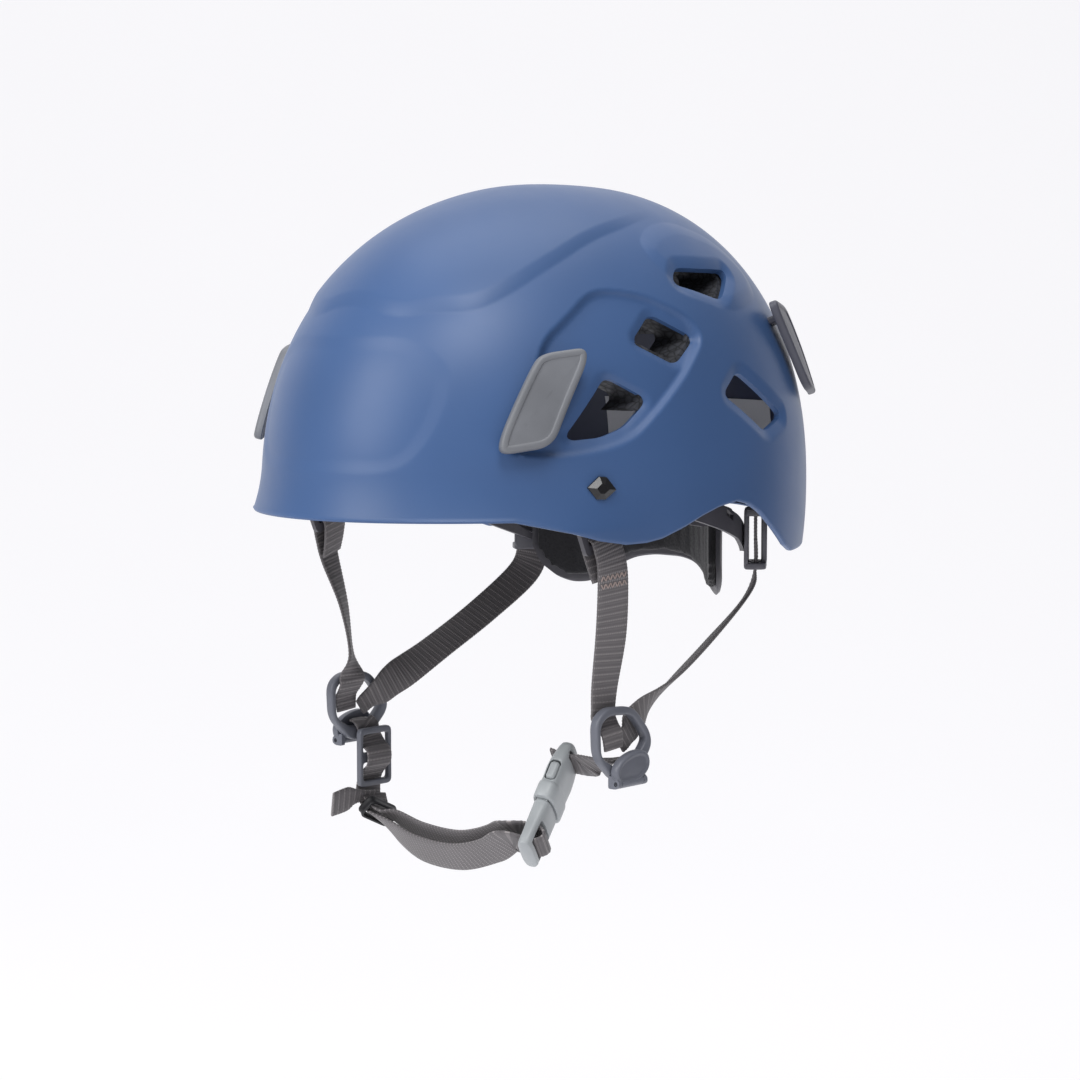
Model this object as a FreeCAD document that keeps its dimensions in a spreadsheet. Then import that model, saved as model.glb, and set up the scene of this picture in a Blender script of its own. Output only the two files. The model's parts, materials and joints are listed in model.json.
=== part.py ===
"""Climbing helmet: hard shell, foam liner, tilting headband with rear adjuster,
four headlamp clips and a chin harness with a side-release buckle.

Frame: origin at the centre of the head opening, level with the front brim.
+Z is up, the front of the helmet faces -Y and +X is the wearer's left.  Millimetres.
"""
import FreeCAD
import Part
import Sketcher
import math
import os

V = FreeCAD.Vector
doc = FreeCAD.newDocument("ClimbingHelmet")

# ---------------------------------------------------------------- driving dimensions
DIMENSIONS = {
    # shell: a dome with an egg-shaped plan about its widest section
    "shell_half_width": 104.0,
    "shell_front": 155.0,
    "shell_rear": 121.0,
    "widest_station": 14.0,
    "crown_height": 140.0,
    "widest_height": 7.0,
    "profile_power": 2.2,
    "shell_wall": 3.0,
    "rear_rim_drop": 22.0,
    # foam liner
    "liner_gap": 1.0,
    "liner_thickness": 16.0,
    "liner_front_edge": 44.0,
    "liner_rear_edge": 72.0,
    # side rivets and strap hangers
    "rivet_station": -62.0,
    "rivet_height": 13.0,
    "rivet_shank_radius": 2.5,
    "rivet_fit": 0.05,
    "boss_radius": 6.0,
    "boss_face": 82.6,
    "hanger_face": 82.4,
    "hanger_thickness": 2.2,
    "ear_face": 79.9,
    "ear_thickness": 2.2,
    "nut_radius": 5.5,
    "nut_thickness": 2.0,
    # headband oval
    "band_half_length": 97.0,
    "band_half_width": 76.0,
    "band_station": -5.0,
    "band_thickness": 2.0,
    "yoke_offset": 8.0,
    # rear adjuster
    "adjuster_height": -16.0,
    "pinion_radius": 6.0,
    "pinion_teeth": 12,
    "wheel_radius": 15.0,
    "wheel_thickness": 6.5,
    "wheel_front": 102.6,
    "wheel_grips": 18,
    "cover_width": 44.0,
    "cover_height": 30.0,
    "cover_back": 102.0,
    # webbing and harness hardware
    "webbing_width": 15.0,
    "webbing_thickness": 1.5,
    "divider_face": 78.0,
    "divider_thickness": 4.5,
    "divider_station": -37.0,
    "divider_height": -98.0,
    "lock_thickness": 4.0,
    "lock_pin_radius": 1.0,
    "lock_hinge_drop": 15.0,
    "lock_hinge_out": 7.2,
    "slider_width": 20.0,
    "slider_length": 27.0,
    "slider_thickness": 3.0,
    "buckle_thickness": 9.0,
    "buckle_inner_thickness": 5.0,
    # headlamp clips
    "clip_thickness": 4.0,
    "clip_gap": 2.6,
    "clip_foot_width": 9.0,
    "clip_foot_thickness": 3.0,
}

sheet = doc.addObject("Spreadsheet::Sheet", "dims")
for row, (alias, value) in enumerate(DIMENSIONS.items(), start=1):
    sheet.set("A%d" % row, alias)
    sheet.set("B%d" % row, str(value))
    sheet.setAlias("B%d" % row, alias)
doc.recompute()


def dim(alias):
    """The value of one spreadsheet cell."""
    return float(sheet.get(alias))


# ---------------------------------------------------------------- document helpers
parts = []


def keep(obj, label):
    """Give a finished sub-part its label and put it on the list that is written out."""
    obj.Label = label
    parts.append(obj)
    return obj


def frame_at(point, x_axis, z_axis):
    """Placement whose local z is z_axis and whose local x is as near x_axis as it can be."""
    z = V(z_axis).normalize()
    x = V(x_axis) - z * z.dot(V(x_axis))
    x.normalize()
    y = z.cross(x)
    matrix = FreeCAD.Matrix(
        x.x, y.x, z.x, point.x,
        x.y, y.y, z.y, point.y,
        x.z, y.z, z.z, point.z,
        0, 0, 0, 1)
    return FreeCAD.Placement(matrix)


def new_body(name, placement=None):
    body = doc.addObject("PartDesign::Body", name)
    if placement is not None:
        body.Placement = placement
    return body


def new_sketch(body, name, role="XY_Plane", lift=None):
    """A sketch on one of the body's own origin planes, lifted by an expression if given."""
    plane = [f for f in body.Origin.OriginFeatures if f.Role == role][0]
    sketch = body.newObject("Sketcher::SketchObject", body.Name + "_" + name)
    sketch.AttachmentSupport = [(plane, "")]
    sketch.MapMode = "FlatFace"
    if lift is not None:
        sketch.setExpression("AttachmentOffset.Base.z", lift)
    return sketch


def bind(sketch, constraint, expression):
    index = sketch.addConstraint(constraint)
    sketch.setExpression("Constraints[%d]" % index, expression)


def draw_circle(sketch, radius, expression, x=0.0, y=0.0):
    index = sketch.addGeometry(Part.Circle(V(x, y, 0), V(0, 0, 1), radius), False)
    bind(sketch, Sketcher.Constraint("Radius", index, radius), expression)
    if x == 0.0 and y == 0.0:
        sketch.addConstraint(Sketcher.Constraint("Coincident", index, 3, -1, 1))


def draw_polygon(sketch, points):
    """A closed outline of straight lines through the points."""
    first = sketch.GeometryCount
    count = len(points)
    for i in range(count):
        start = V(points[i][0], points[i][1], 0)
        end = V(points[(i + 1) % count][0], points[(i + 1) % count][1], 0)
        sketch.addGeometry(Part.LineSegment(start, end), False)
    for i in range(count):
        following = first + (i + 1) % count
        sketch.addConstraint(Sketcher.Constraint("Coincident", first + i, 2, following, 1))
    return first


def draw_rectangle(sketch, x0, y0, x1, y1, width=None, height=None):
    """A rectangle; width and height are optional expressions for its sides."""
    first = draw_polygon(sketch, [(x0, y0), (x1, y0), (x1, y1), (x0, y1)])
    for side, kind in enumerate(("Horizontal", "Vertical", "Horizontal", "Vertical")):
        sketch.addConstraint(Sketcher.Constraint(kind, first + side))
    if width is not None:
        bind(sketch, Sketcher.Constraint("DistanceX", first, 1, first, 2, x1 - x0), width)
    if height is not None:
        bind(sketch, Sketcher.Constraint("DistanceY", first + 1, 1, first + 1, 2, y1 - y0), height)


def turned_slot(centre, length, height, angle_deg):
    """Corner points of a rectangular slot turned in its plane."""
    angle = math.radians(angle_deg)
    along = (math.cos(angle), math.sin(angle))
    corners = []
    for sx, sy in ((-1, -1), (1, -1), (1, 1), (-1, 1)):
        u = sx * length / 2.0
        v = sy * height / 2.0
        corners.append((centre[0] + u * along[0] - v * along[1],
                        centre[1] + u * along[1] + v * along[0]))
    return corners


def pad(body, sketch, length, midplane=False, reverse=False):
    feature = body.newObject("PartDesign::Pad", sketch.Name + "_pad")
    feature.Profile = sketch
    feature.setExpression("Length", length)
    feature.Midplane = midplane
    feature.Reversed = reverse
    doc.recompute()
    return feature


def pocket(body, sketch, length, midplane=True, reverse=False):
    feature = body.newObject("PartDesign::Pocket", sketch.Name + "_pocket")
    feature.Profile = sketch
    feature.setExpression("Length", length)
    feature.Midplane = midplane
    feature.Reversed = reverse
    doc.recompute()
    return feature


def edges_along(shape, direction, tolerance=0.02):
    """Names of the straight edges that run along a direction."""
    names = []
    for i, edge in enumerate(shape.Edges, start=1):
        if edge.Curve.TypeId != "Part::GeomLine":
            continue
        if abs(abs(edge.Curve.Direction.dot(direction)) - 1.0) < tolerance:
            names.append("Edge%d" % i)
    return names


def round_corners(body, feature, radius, direction=V(0, 0, 1)):
    """Fillet every straight edge of the last feature that runs along a direction."""
    fillet = body.newObject("PartDesign::Fillet", feature.Name + "_fillet")
    fillet.Base = (feature, edges_along(feature.Shape, direction))
    fillet.Radius = radius
    doc.recompute()
    return fillet


def feature(name, shape, placement=None):
    """A Part::Feature that holds a shape made with Part's own functions."""
    obj = doc.addObject("Part::Feature", name)
    obj.Shape = shape
    if placement is not None:
        obj.Placement = placement
    return keep(obj, name)


def side_name(side):
    return "left" if side > 0 else "right"


# ---------------------------------------------------------------- geometry helpers
def superellipse_radius(height, top):
    """Plan radius, as a fraction, of the dome's section at a height."""
    power = dim("profile_power")
    fraction = abs(height - dim("widest_height")) / (top - dim("widest_height"))
    return max(0.0, 1.0 - fraction ** power) ** (1.0 / power)


def dome(inset, bottom):
    """Solid dome, inset from the outside of the shell and cut flat at the bottom."""
    top = dim("crown_height") - inset
    half_width = dim("shell_half_width") - inset
    steps = 12
    level = dim("widest_height")
    points = [V(half_width * superellipse_radius(bottom, top), 0, bottom)]
    for i in range(steps + 1):
        turn = math.radians(90.0 * i / steps)
        height = level + (top - level) * math.sin(turn)
        points.append(V(half_width * superellipse_radius(height, top), 0, height))
    points[-1] = V(0, 0, top)
    profile = Part.BSplineCurve()
    profile.interpolate(Points=points)
    foot = V(0, 0, bottom)
    outline = Part.Wire([
        Part.LineSegment(foot, points[0]).toShape(),
        profile.toShape(),
        Part.LineSegment(points[-1], foot).toShape()])
    face = Part.Face(outline)
    halves = []
    for angle, length in ((180.0, dim("shell_rear")), (-180.0, dim("shell_front"))):
        half = face.revolve(V(0, 0, 0), V(0, 0, 1), angle)
        stretch = FreeCAD.Matrix()
        stretch.scale(1.0, (length - inset) / half_width, 1.0)
        half = half.transformGeometry(stretch)
        half.translate(V(0, dim("widest_station"), 0))
        halves.append(half)
    return halves[0].fuse(halves[1])


def wall_point(side, station, height, inset=0.0):
    """A point on the dome at a station along Y and a height, and the outward normal there."""
    top = dim("crown_height") - inset
    half_width = dim("shell_half_width") - inset
    length = dim("shell_rear") if station > dim("widest_station") else dim("shell_front")
    length -= inset
    radius = superellipse_radius(height, top)
    along = (station - dim("widest_station")) / length
    x = half_width * math.sqrt(radius ** 2 - along ** 2)
    power = dim("profile_power")
    rise = (height - dim("widest_height")) / (top - dim("widest_height"))
    lift = radius ** (2.0 - power) * abs(rise) ** (power - 1.0) / (top - dim("widest_height"))
    normal = V(side * x / half_width ** 2, along / length, math.copysign(lift, rise))
    return V(side * x, station, height), normal.normalize()


def side_prism(points, x0, x1):
    """Prism along X of a (Y, Z) outline."""
    corners = [V(x0, y, z) for y, z in points]
    corners.append(corners[0])
    return Part.Face(Part.makePolygon(corners)).extrude(V(x1 - x0, 0, 0))


def oval_face(offset, height):
    """Flat oval of the headband, offset outwards."""
    centre = V(0, dim("band_station"), height)
    long_end = centre + V(0, dim("band_half_length") + offset, 0)
    short_end = centre + V(dim("band_half_width") + offset, 0, 0)
    return Part.Face(Part.Wire([Part.Ellipse(long_end, short_end, centre).toShape()]))


def oval_tube(inner, outer, low, high):
    """Upright tube between two offsets of the headband oval."""
    tube = oval_face(outer, low).cut(oval_face(inner, low))
    return tube.extrude(V(0, 0, high - low))


def one_solid(shape):
    """The shape as a plain solid, when it holds exactly one."""
    return shape.Solids[0] if len(shape.Solids) == 1 else shape


def smooth_route(stations, steps):
    """Points of a Catmull-Rom curve through stations of (point, width axis, width)."""
    route = []
    last = len(stations) - 1
    for i in range(last):
        four = [stations[max(i - 1, 0)], stations[i], stations[i + 1], stations[min(i + 2, last)]]
        for step in range(steps if i < last - 1 else steps + 1):
            t = step / float(steps)
            weights = (-0.5 * t + t * t - 0.5 * t ** 3, 1.0 - 2.5 * t * t + 1.5 * t ** 3,
                       0.5 * t + 2.0 * t * t - 1.5 * t ** 3, -0.5 * t * t + 0.5 * t ** 3)
            point = V(0, 0, 0)
            axis = V(0, 0, 0)
            width = 0.0
            for weight, station in zip(weights, four):
                point += station[0] * weight
                axis += station[1] * weight
                width += station[2] * weight
            route.append((point, axis, width))
    return route


def ribbon(stations, steps=4):
    """Flat webbing along a smooth route of (point, width axis, width)."""
    route = smooth_route(stations, steps)
    half_thickness = dim("webbing_thickness") / 2.0
    sections = []
    for i, (point, axis, width) in enumerate(route):
        before = route[max(i - 1, 0)][0]
        after = route[min(i + 1, len(route) - 1)][0]
        tangent = (after - before).normalize()
        across = (axis - tangent * tangent.dot(axis)).normalize()
        normal = tangent.cross(across)
        corners = []
        for a, b in ((-1, -1), (1, -1), (1, 1), (-1, 1), (-1, -1)):
            corners.append(point + across * (a * width / 2.0) + normal * (b * half_thickness))
        sections.append(Part.makePolygon(corners))
    return Part.makeLoft(sections, True, True)


def mirrored(stations, side):
    """Stations drawn for the left, moved to the right for side -1."""
    if side > 0:
        return stations
    return [(V(-p.x, p.y, p.z), V(-w.x, w.y, w.z), width) for p, w, width in stations]


# ---------------------------------------------------------------- places on the helmet
FRONT_CLIP = (-81.0, 49.0)
REAR_CLIP = (73.0, 67.0)
# (side, station, height, lean): the lower end of a front clip leans forwards
CLIP_SITES = {
    "front_clip_left": (1, FRONT_CLIP, -1),
    "front_clip_right": (-1, FRONT_CLIP, -1),
    "rear_clip_left": (1, REAR_CLIP, 1),
    "rear_clip_right": (-1, REAR_CLIP, 1),
}
CLIP_NECK = (-7.0, 12.5)
CLIP_OUTLINE = [(-19.5, 19.0), (0.0, 19.0), (4.5, 14.5), (14.5, 1.0), (24.0, -13.5),
                (24.5, -19.5), (2.5, -19.5), (-8.0, -3.0), (-19.5, 13.5)]
VENTS = {
    "square": [(-22, 84), (-3, 74.5), (-16, 65), (-34, 74)],
    "lower": [(-53, 58), (-37, 49), (-49, 39), (-60, 35), (-74, 34)],
    "upper": [(3, 102.5), (38, 101.5), (23, 91), (-1, 98)],
    "rear": [(20, 58), (52, 39), (36, 34), (10, 50)],
}
REAR_ANCHOR = (76.0, 16.0)


def clip_frame(site):
    """Local frame of a clip: x towards the lean of its lower end, y up, z outwards."""
    side, (station, height), lean = CLIP_SITES[site]
    point, normal = wall_point(side, station, height)
    return frame_at(point, V(0, lean, 0), normal)


def clip_mirror(site):
    """+1 where the clip's own frame keeps y up, -1 where it turns it down."""
    up = clip_frame(site).Rotation.multVec(V(0, 1, 0))
    return 1 if up.z > 0 else -1


# ---------------------------------------------------------------- shell and liner
def rim_cutter():
    """Everything under the rim: flat brim, ear lobes, side notches and rear lobes."""
    drop = -dim("rear_rim_drop")
    rim = [V(0, -150, 0), V(0, -95, 0), V(0, -74, -5), V(0, -50, -11), V(0, -32, -9.5),
           V(0, -10, -1), V(0, 12, 4), V(0, 28, -1.5), V(0, 46, -13), V(0, 64, drop), V(0, 90, drop)]
    curve = Part.BSplineCurve()
    curve.interpolate(Points=rim)
    floor = -70.0
    corners = [V(0, 90, drop), V(0, 180, drop), V(0, 180, floor), V(0, -200, floor),
               V(0, -200, 0), V(0, -150, 0)]
    edges = [curve.toShape()]
    for start, end in zip(corners[:-1], corners[1:]):
        edges.append(Part.LineSegment(start, end).toShape())
    solid = Part.Face(Part.Wire(edges)).extrude(V(260, 0, 0))
    solid.translate(V(-130, 0, 0))
    arch_centre = V(0, 70, -38)
    arch = Part.Ellipse(arch_centre + V(68, 0, 0), arch_centre + V(0, 0, 28), arch_centre)
    arch_solid = Part.Face(Part.Wire([arch.toShape()])).extrude(V(0, 120, 0))
    return solid.fuse(arch_solid)


def vent_cutter(points, side, near, far, grow, corner):
    """Prism through one side wall; grow widens it about its middle."""
    middle_y = sum(p[0] for p in points) / len(points)
    middle_z = sum(p[1] for p in points) / len(points)
    wide = [(middle_y + (y - middle_y) * grow, middle_z + (z - middle_z) * grow) for y, z in points]
    prism = side_prism(wide, side * near, side * far)
    along = [e for e in prism.Edges if abs(e.tangentAt(e.FirstParameter).x) > 0.99]
    return prism.makeFillet(corner, along)


def local_box(site, x0, y0, z0, x1, y1, z1):
    """A box drawn in a clip's frame, with y measured upwards."""
    flip = clip_mirror(site)
    low, high = sorted((y0 * flip, y1 * flip))
    box = Part.makeBox(x1 - x0, high - low, z1 - z0, V(x0, low, z0))
    box.Placement = clip_frame(site)
    return box


def rivet_axis_tool(side, radius, start, end):
    """Cylinder along X on the side rivet's axis."""
    origin = V(side * start, dim("rivet_station"), dim("rivet_height"))
    return Part.makeCylinder(radius, end - start, origin, V(side, 0, 0))


def anchor_frame(side):
    """Local frame of a rear strap anchor: z inwards from the wall, y up."""
    point, normal = wall_point(side, REAR_ANCHOR[0], REAR_ANCHOR[1], dim("shell_wall"))
    tangent = V(0, 0, 1).cross(normal * -1)
    return frame_at(point, tangent, normal * -1)


def build_shell():
    outer = dome(0.0, -40.0)
    inner = dome(dim("shell_wall"), -45.0)
    shell = outer.cut(inner).cut(rim_cutter())
    for side in (1, -1):
        post = rivet_axis_tool(side, dim("boss_radius"), dim("boss_face"), 92.0)
        shell = shell.fuse(post.common(outer))
        anchor_post = Part.makeCylinder(4.5, 7.0, V(0, 0, -1.0))
        anchor_post.Placement = anchor_frame(side)
        shell = shell.fuse(anchor_post)
        bore = rivet_axis_tool(side, dim("rivet_shank_radius") + dim("rivet_fit"), 60.0, 110.0)
        shell = shell.cut(bore)
        screw_bore = Part.makeCylinder(1.3, 6.0, V(0, 0, 0.5))
        screw_bore.Placement = anchor_frame(side)
        shell = shell.cut(screw_bore)
        for points in VENTS.values():
            shell = shell.cut(vent_cutter(points, side, 40.0, 130.0, 1.0, 2.5))
    half_slot = dim("clip_foot_width") / 2.0 + 0.8
    deep = dim("clip_foot_thickness") / 2.0 + 1.2
    for site in CLIP_SITES:
        x, y = CLIP_NECK
        slot = local_box(site, x - half_slot, y - deep, -9.0, x + half_slot, y + deep, 6.0)
        shell = shell.cut(slot)
    return one_solid(shell)


def build_liner():
    inset = dim("shell_wall") + dim("liner_gap")
    liner = dome(inset, 20.0).cut(dome(inset + dim("liner_thickness"), 15.0))
    front = dim("liner_front_edge")
    rear = dim("liner_rear_edge")
    below = side_prism([(-200, front), (-40, front), (60, rear), (200, rear), (200, -50),
                        (-200, -50)], -130, 130)
    liner = liner.cut(below)
    for side in (1, -1):
        for name in ("square", "upper"):
            liner = liner.cut(vent_cutter(VENTS[name], side, 30.0, 130.0, 1.12, 2.5))
        for name in ("lower", "rear"):
            liner = liner.cut(vent_cutter(VENTS[name], side, 60.0, 130.0, 1.12, 2.5))
    for site in CLIP_SITES:
        x, y = CLIP_NECK
        liner = liner.cut(local_box(site, x - 9, y - 8, -14.0, x + 9, y + 8, 6.0))
    return one_solid(liner)


feature("shell", build_shell())
feature("eps_liner", build_liner())

pad_inset = dim("shell_wall") + dim("liner_gap") + dim("liner_thickness") + 0.2
pad_thickness = 5.0
crown = dome(pad_inset, 20.0).cut(dome(pad_inset + pad_thickness, 15.0))
feature("crown_pad", one_solid(crown.common(Part.makeCylinder(34.0, 200.0, V(0, 5, 0)))))

# two blank care labels stuck to the inside of the shell behind the head
label_skin = dome(dim("shell_wall") + 0.05, 0.0).cut(dome(dim("shell_wall") + 0.35, -5.0))
label_blocks = [Part.makeBox(30, 60, 24, V(-56, 90, 17)), Part.makeBox(34, 60, 24, V(1, 90, 17))]
labels = [one_solid(label_skin.common(block)) for block in label_blocks]
feature("inner_labels", Part.makeCompound(labels))


# ---------------------------------------------------------------- side rivets and hangers
def build_rivet(side):
    """Kite-shaped faceted cap outside the shell, with a shank along X."""
    seat, normal = wall_point(side, dim("rivet_station"), dim("rivet_height"))
    outline = [(-6.6, 0.6), (-1.2, 5.0), (2.2, 4.6), (6.6, -0.8), (1.4, -4.6), (-2.6, -4.4)]
    place = frame_at(seat, V(0, 1, 0), normal)
    up = 1 if place.Rotation.multVec(V(0, 1, 0)).z > 0 else -1
    base = Part.makePolygon([V(x, up * y, 0.15) for x, y in outline + outline[:1]])
    rim = Part.makePolygon([V(x, up * y, 1.2) for x, y in outline + outline[:1]])
    crest = Part.makePolygon([V(x * 0.45 - 0.5, up * y * 0.45, 3.2) for x, y in outline + outline[:1]])
    cap = Part.makeLoft([base, rim], True, True).fuse(Part.makeLoft([rim, crest], True, True))
    cap.Placement = place
    shank = rivet_axis_tool(side, dim("rivet_shank_radius"), 75.0, abs(seat.x) + 1.6)
    return one_solid(cap.fuse(shank))


for side in (1, -1):
    feature("side_rivet_" + side_name(side), build_rivet(side))

for side in (1, -1):
    # hanger plate: round head on the rivet, webbing slot at its lower end
    name = "strap_hanger_" + side_name(side)
    tilt = math.radians(24.0)
    down = V(0, math.sin(tilt), -math.cos(tilt))
    pivot = V(side * dim("hanger_face"), dim("rivet_station"), dim("rivet_height"))
    body = new_body(name, frame_at(pivot, down, V(-side, 0, 0)))
    plate = new_sketch(body, "plate")
    draw_polygon(plate, [(-7, -6), (6, -6.5), (14, -11), (27.5, -11), (27.5, 11), (14, 11),
                         (6, 6.5), (-7, 6)])
    plate_pad = pad(body, plate, "dims.hanger_thickness")
    round_corners(body, plate_pad, 2.5)
    holes = new_sketch(body, "holes")
    draw_circle(holes, 2.6, "dims.rivet_shank_radius + dims.rivet_fit + 0.05")
    slot_half = 8.0
    draw_rectangle(holes, 19.0, -slot_half, 23.6, slot_half, height="dims.webbing_width + 1")
    pocket(body, holes, "dims.hanger_thickness * 4")
    keep(body, name)

for side in (1, -1):
    # push-on nut that holds the hanger and the headband's ear on the shank
    name = "rivet_nut_" + side_name(side)
    face = V(side * (dim("ear_face") - dim("ear_thickness") - 0.3), dim("rivet_station"),
             dim("rivet_height"))
    body = new_body(name, frame_at(face, V(0, 1, 0), V(-side, 0, 0)))
    disc = new_sketch(body, "disc")
    draw_circle(disc, 5.5, "dims.nut_radius")
    draw_circle(disc, 2.5, "dims.rivet_shank_radius")
    pad(body, disc, "dims.nut_thickness")
    keep(body, name)


# ---------------------------------------------------------------- rear strap anchors
for side in (1, -1):
    name = "rear_anchor_" + side_name(side)
    body = new_body(name, anchor_frame(side))
    plate = new_sketch(body, "plate", lift="dims.shell_wall * 2 + 0.1")
    draw_polygon(plate, [(-6, 7), (6, 7), (11, -6), (11, -18), (-11, -18), (-11, -6)])
    round_corners(body, pad(body, plate, "dims.hanger_thickness"), 2.0)
    holes = new_sketch(body, "holes", lift="dims.shell_wall * 2")
    draw_circle(holes, 1.6, "1.6 mm")
    draw_rectangle(holes, -8.0, -14.5, 8.0, -9.9, width="dims.webbing_width + 1")
    pocket(body, holes, "dims.hanger_thickness * 6")
    keep(body, name)

screws = []
for side in (1, -1):
    head = Part.makeCylinder(3.2, 1.8, V(0, 0, 8.5))
    drive = Part.makeBox(4.2, 0.9, 0.9, V(-2.1, -0.45, 9.5))
    shank = Part.makeCylinder(1.25, 7.7, V(0, 0, 0.9))
    screw = head.fuse(shank).cut(drive)
    screw.Placement = anchor_frame(side)
    screws.append(one_solid(screw))
feature("rear_anchor_screws", Part.makeCompound(screws))


# ---------------------------------------------------------------- headlamp clips
def build_clip(site):
    """Leaning plate with a rounded outline; its neck passes through the shell."""
    flip = clip_mirror(site)
    low = dim("clip_gap")
    high = low + dim("clip_thickness")
    loops = []
    for height, shrink in ((low, 1.0), (high - 1.2, 1.0), (high, 0.9)):
        corners = [V(x * shrink, flip * y * shrink, height) for x, y in CLIP_OUTLINE]
        loops.append(Part.makePolygon(corners + corners[:1]))
    plate = Part.makeLoft(loops[:2], True, True)
    upright = [e for e in plate.Edges if abs(e.tangentAt(e.FirstParameter).z) > 0.99]
    plate = plate.makeFillet(1.8, upright)
    crown = Part.makeLoft([loops[1], loops[2]], True, True)
    plate = plate.fuse(crown.common(Part.makeBox(60, 60, 10, V(-30, -30, high - 1.2))))
    plate.Placement = clip_frame(site)
    x, y = CLIP_NECK
    half = dim("clip_foot_width") / 2.0
    deep = dim("clip_foot_thickness") / 2.0
    neck = local_box(site, x - half, y - deep, -5.4, x + half, y + deep, low + 1.0)
    barb = local_box(site, x - half, y - deep, -7.4, x + half, y + deep + 2.2, -5.4)
    return one_solid(plate.fuse(neck).fuse(barb))


for site in CLIP_SITES:
    feature(site, build_clip(site))


# ---------------------------------------------------------------- headband
def build_headband():
    """Brow band, side ears on the rivets and yoke plates that carry the strap guides."""
    thickness = dim("band_thickness")
    brow = oval_tube(0.0, thickness, -20.0, 40.0)
    brow = brow.common(side_prism(
        [(-120, 4), (-84, 2), (-50, -2), (-9.5, -4), (-9.5, 8), (-50, 19), (-84, 26), (-120, 27)],
        -110, 110))
    solids = [brow]
    outer = dim("yoke_offset")
    yoke_outline = [(-52, 2), (-20, 0), (6, -5), (30, -11), (50, -16.5), (66, -24), (66, -12),
                    (50, -6), (30, 0), (6, 9), (-20, 15), (-52, 18)]
    for side in (1, -1):
        yoke = oval_tube(outer, outer + thickness, -40.0, 40.0)
        yoke = yoke.common(side_prism(yoke_outline, 0, side * 110))
        solids.append(yoke)
        ear_x = side * (dim("ear_face") - dim("ear_thickness"))
        ear = side_prism([(-70, 6), (-64, 4), (-34, 1), (-34, 16), (-56, 21), (-66, 21), (-70, 18)],
                         ear_x, side * dim("ear_face"))
        solids.append(ear)
        link = side_prism([(-44, 3), (-36, 3), (-36, 14), (-44, 14)], side * 72.0, side * 79.0)
        solids.append(link)
    shape = solids[0]
    for solid in solids[1:]:
        shape = shape.fuse(solid)
    for side in (1, -1):
        shape = shape.cut(rivet_axis_tool(side, dim("rivet_shank_radius") + dim("rivet_fit"), 50, 90))
        for centre, angle in (((18.0, 3.0), -18.0), ((38.0, -5.0), -22.0)):
            slot = turned_slot(centre, 9.0, 2.6, angle)
            shape = shape.cut(side_prism(slot, side * 55, side * 100))
    return one_solid(shape)


feature("headband", build_headband())

brow_pad = oval_tube(-5.2, -0.2, -20.0, 40.0)
brow_pad = brow_pad.common(side_prism([(-120, 0), (-84, -1), (-58, 2), (-58, 16), (-84, 24),
                                       (-120, 25)], -110, 110))
feature("brow_pad", one_solid(brow_pad))


def build_strap_guide(side):
    """C-shaped webbing guide at the rear end of a yoke: a back plate, two slotted
    shelves and an upright outer bar."""
    seat = V(side * 64.3, 66.35, -18.0)
    outwards = V(side * 0.80, 0.60, 0)
    place = frame_at(seat, V(0, 0, 1), outwards)
    tall = 27.0
    wide = 19.0
    back = Part.makeBox(tall, wide, 2.0, V(-tall / 2, -wide / 2, 0))
    shape = back
    for z in (-tall / 2, tall / 2 - 3.0):
        shelf = Part.makeBox(3.0, wide, 9.0, V(z, -wide / 2, 1.0))
        slot = Part.makeBox(5.0, dim("webbing_width") + 1.2, 3.4, V(z - 1.0, -8.1, 3.0))
        shape = shape.fuse(shelf).cut(slot)
    bar = Part.makeBox(tall, 6.0, 2.6, V(-tall / 2, -3.0, 7.6))
    shape = shape.fuse(bar)
    shape.Placement = place
    return one_solid(shape)


for side in (1, -1):
    feature("strap_guide_" + side_name(side), build_strap_guide(side))


# ---------------------------------------------------------------- rear adjuster
ARM_INNER = 2.5
ARM_OUTER = 4.5
ARM_PIVOT = (79.5, -8.0)
RACK_PITCH = 2.0 * math.pi * dim("pinion_radius") / dim("pinion_teeth")


def build_arm(side):
    """Flexible side arm from the temple to its toothed tail behind the head."""
    level = dim("adjuster_height")
    reach = 15.0
    up = 1 if side > 0 else -1
    pitch_line = level + up * dim("pinion_radius")
    root = pitch_line + up * 1.2
    crest = pitch_line - up * 0.7
    back = root + up * 2.8
    tube = oval_tube(ARM_INNER, ARM_OUTER, -40.0, 40.0)
    low, high = sorted((root, back))
    side_profile = side_prism([(-12.5, -4), (20, -9), (60, low), (110, low), (110, high),
                               (60, high), (20, 5), (-12.5, 8)], 0, side * 110)
    arm = tube.common(side_profile)
    tail_box = Part.makeBox(reach, 40, high - low, V(-reach if side > 0 else 0, 75, low))
    arm = arm.fuse(tube.common(tail_box))
    for place in range(-4, 5):
        x = place * RACK_PITCH
        half_root = 1.0
        half_tip = 0.45
        tooth = Part.Face(Part.makePolygon([
            V(x - half_root, 85, root + up * 0.3), V(x + half_root, 85, root + up * 0.3),
            V(x + half_tip, 85, crest), V(x - half_tip, 85, crest),
            V(x - half_root, 85, root + up * 0.3)])).extrude(V(0, 25, 0))
        arm = arm.fuse(tooth.common(tube))
    return one_solid(arm)


for side in (1, -1):
    feature("adjuster_arm_" + side_name(side), build_arm(side))


def rear_outline(points):
    """Prism along Y of an (X, Z) outline that is the same on both sides."""
    half = [V(x, 20, z) for x, z in points]
    other = [V(-p.x, 20, p.z) for p in reversed(half)]
    corners = half + other
    corners.append(corners[0])
    return Part.Face(Part.makePolygon(corners)).extrude(V(0, 110, 0))


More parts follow.
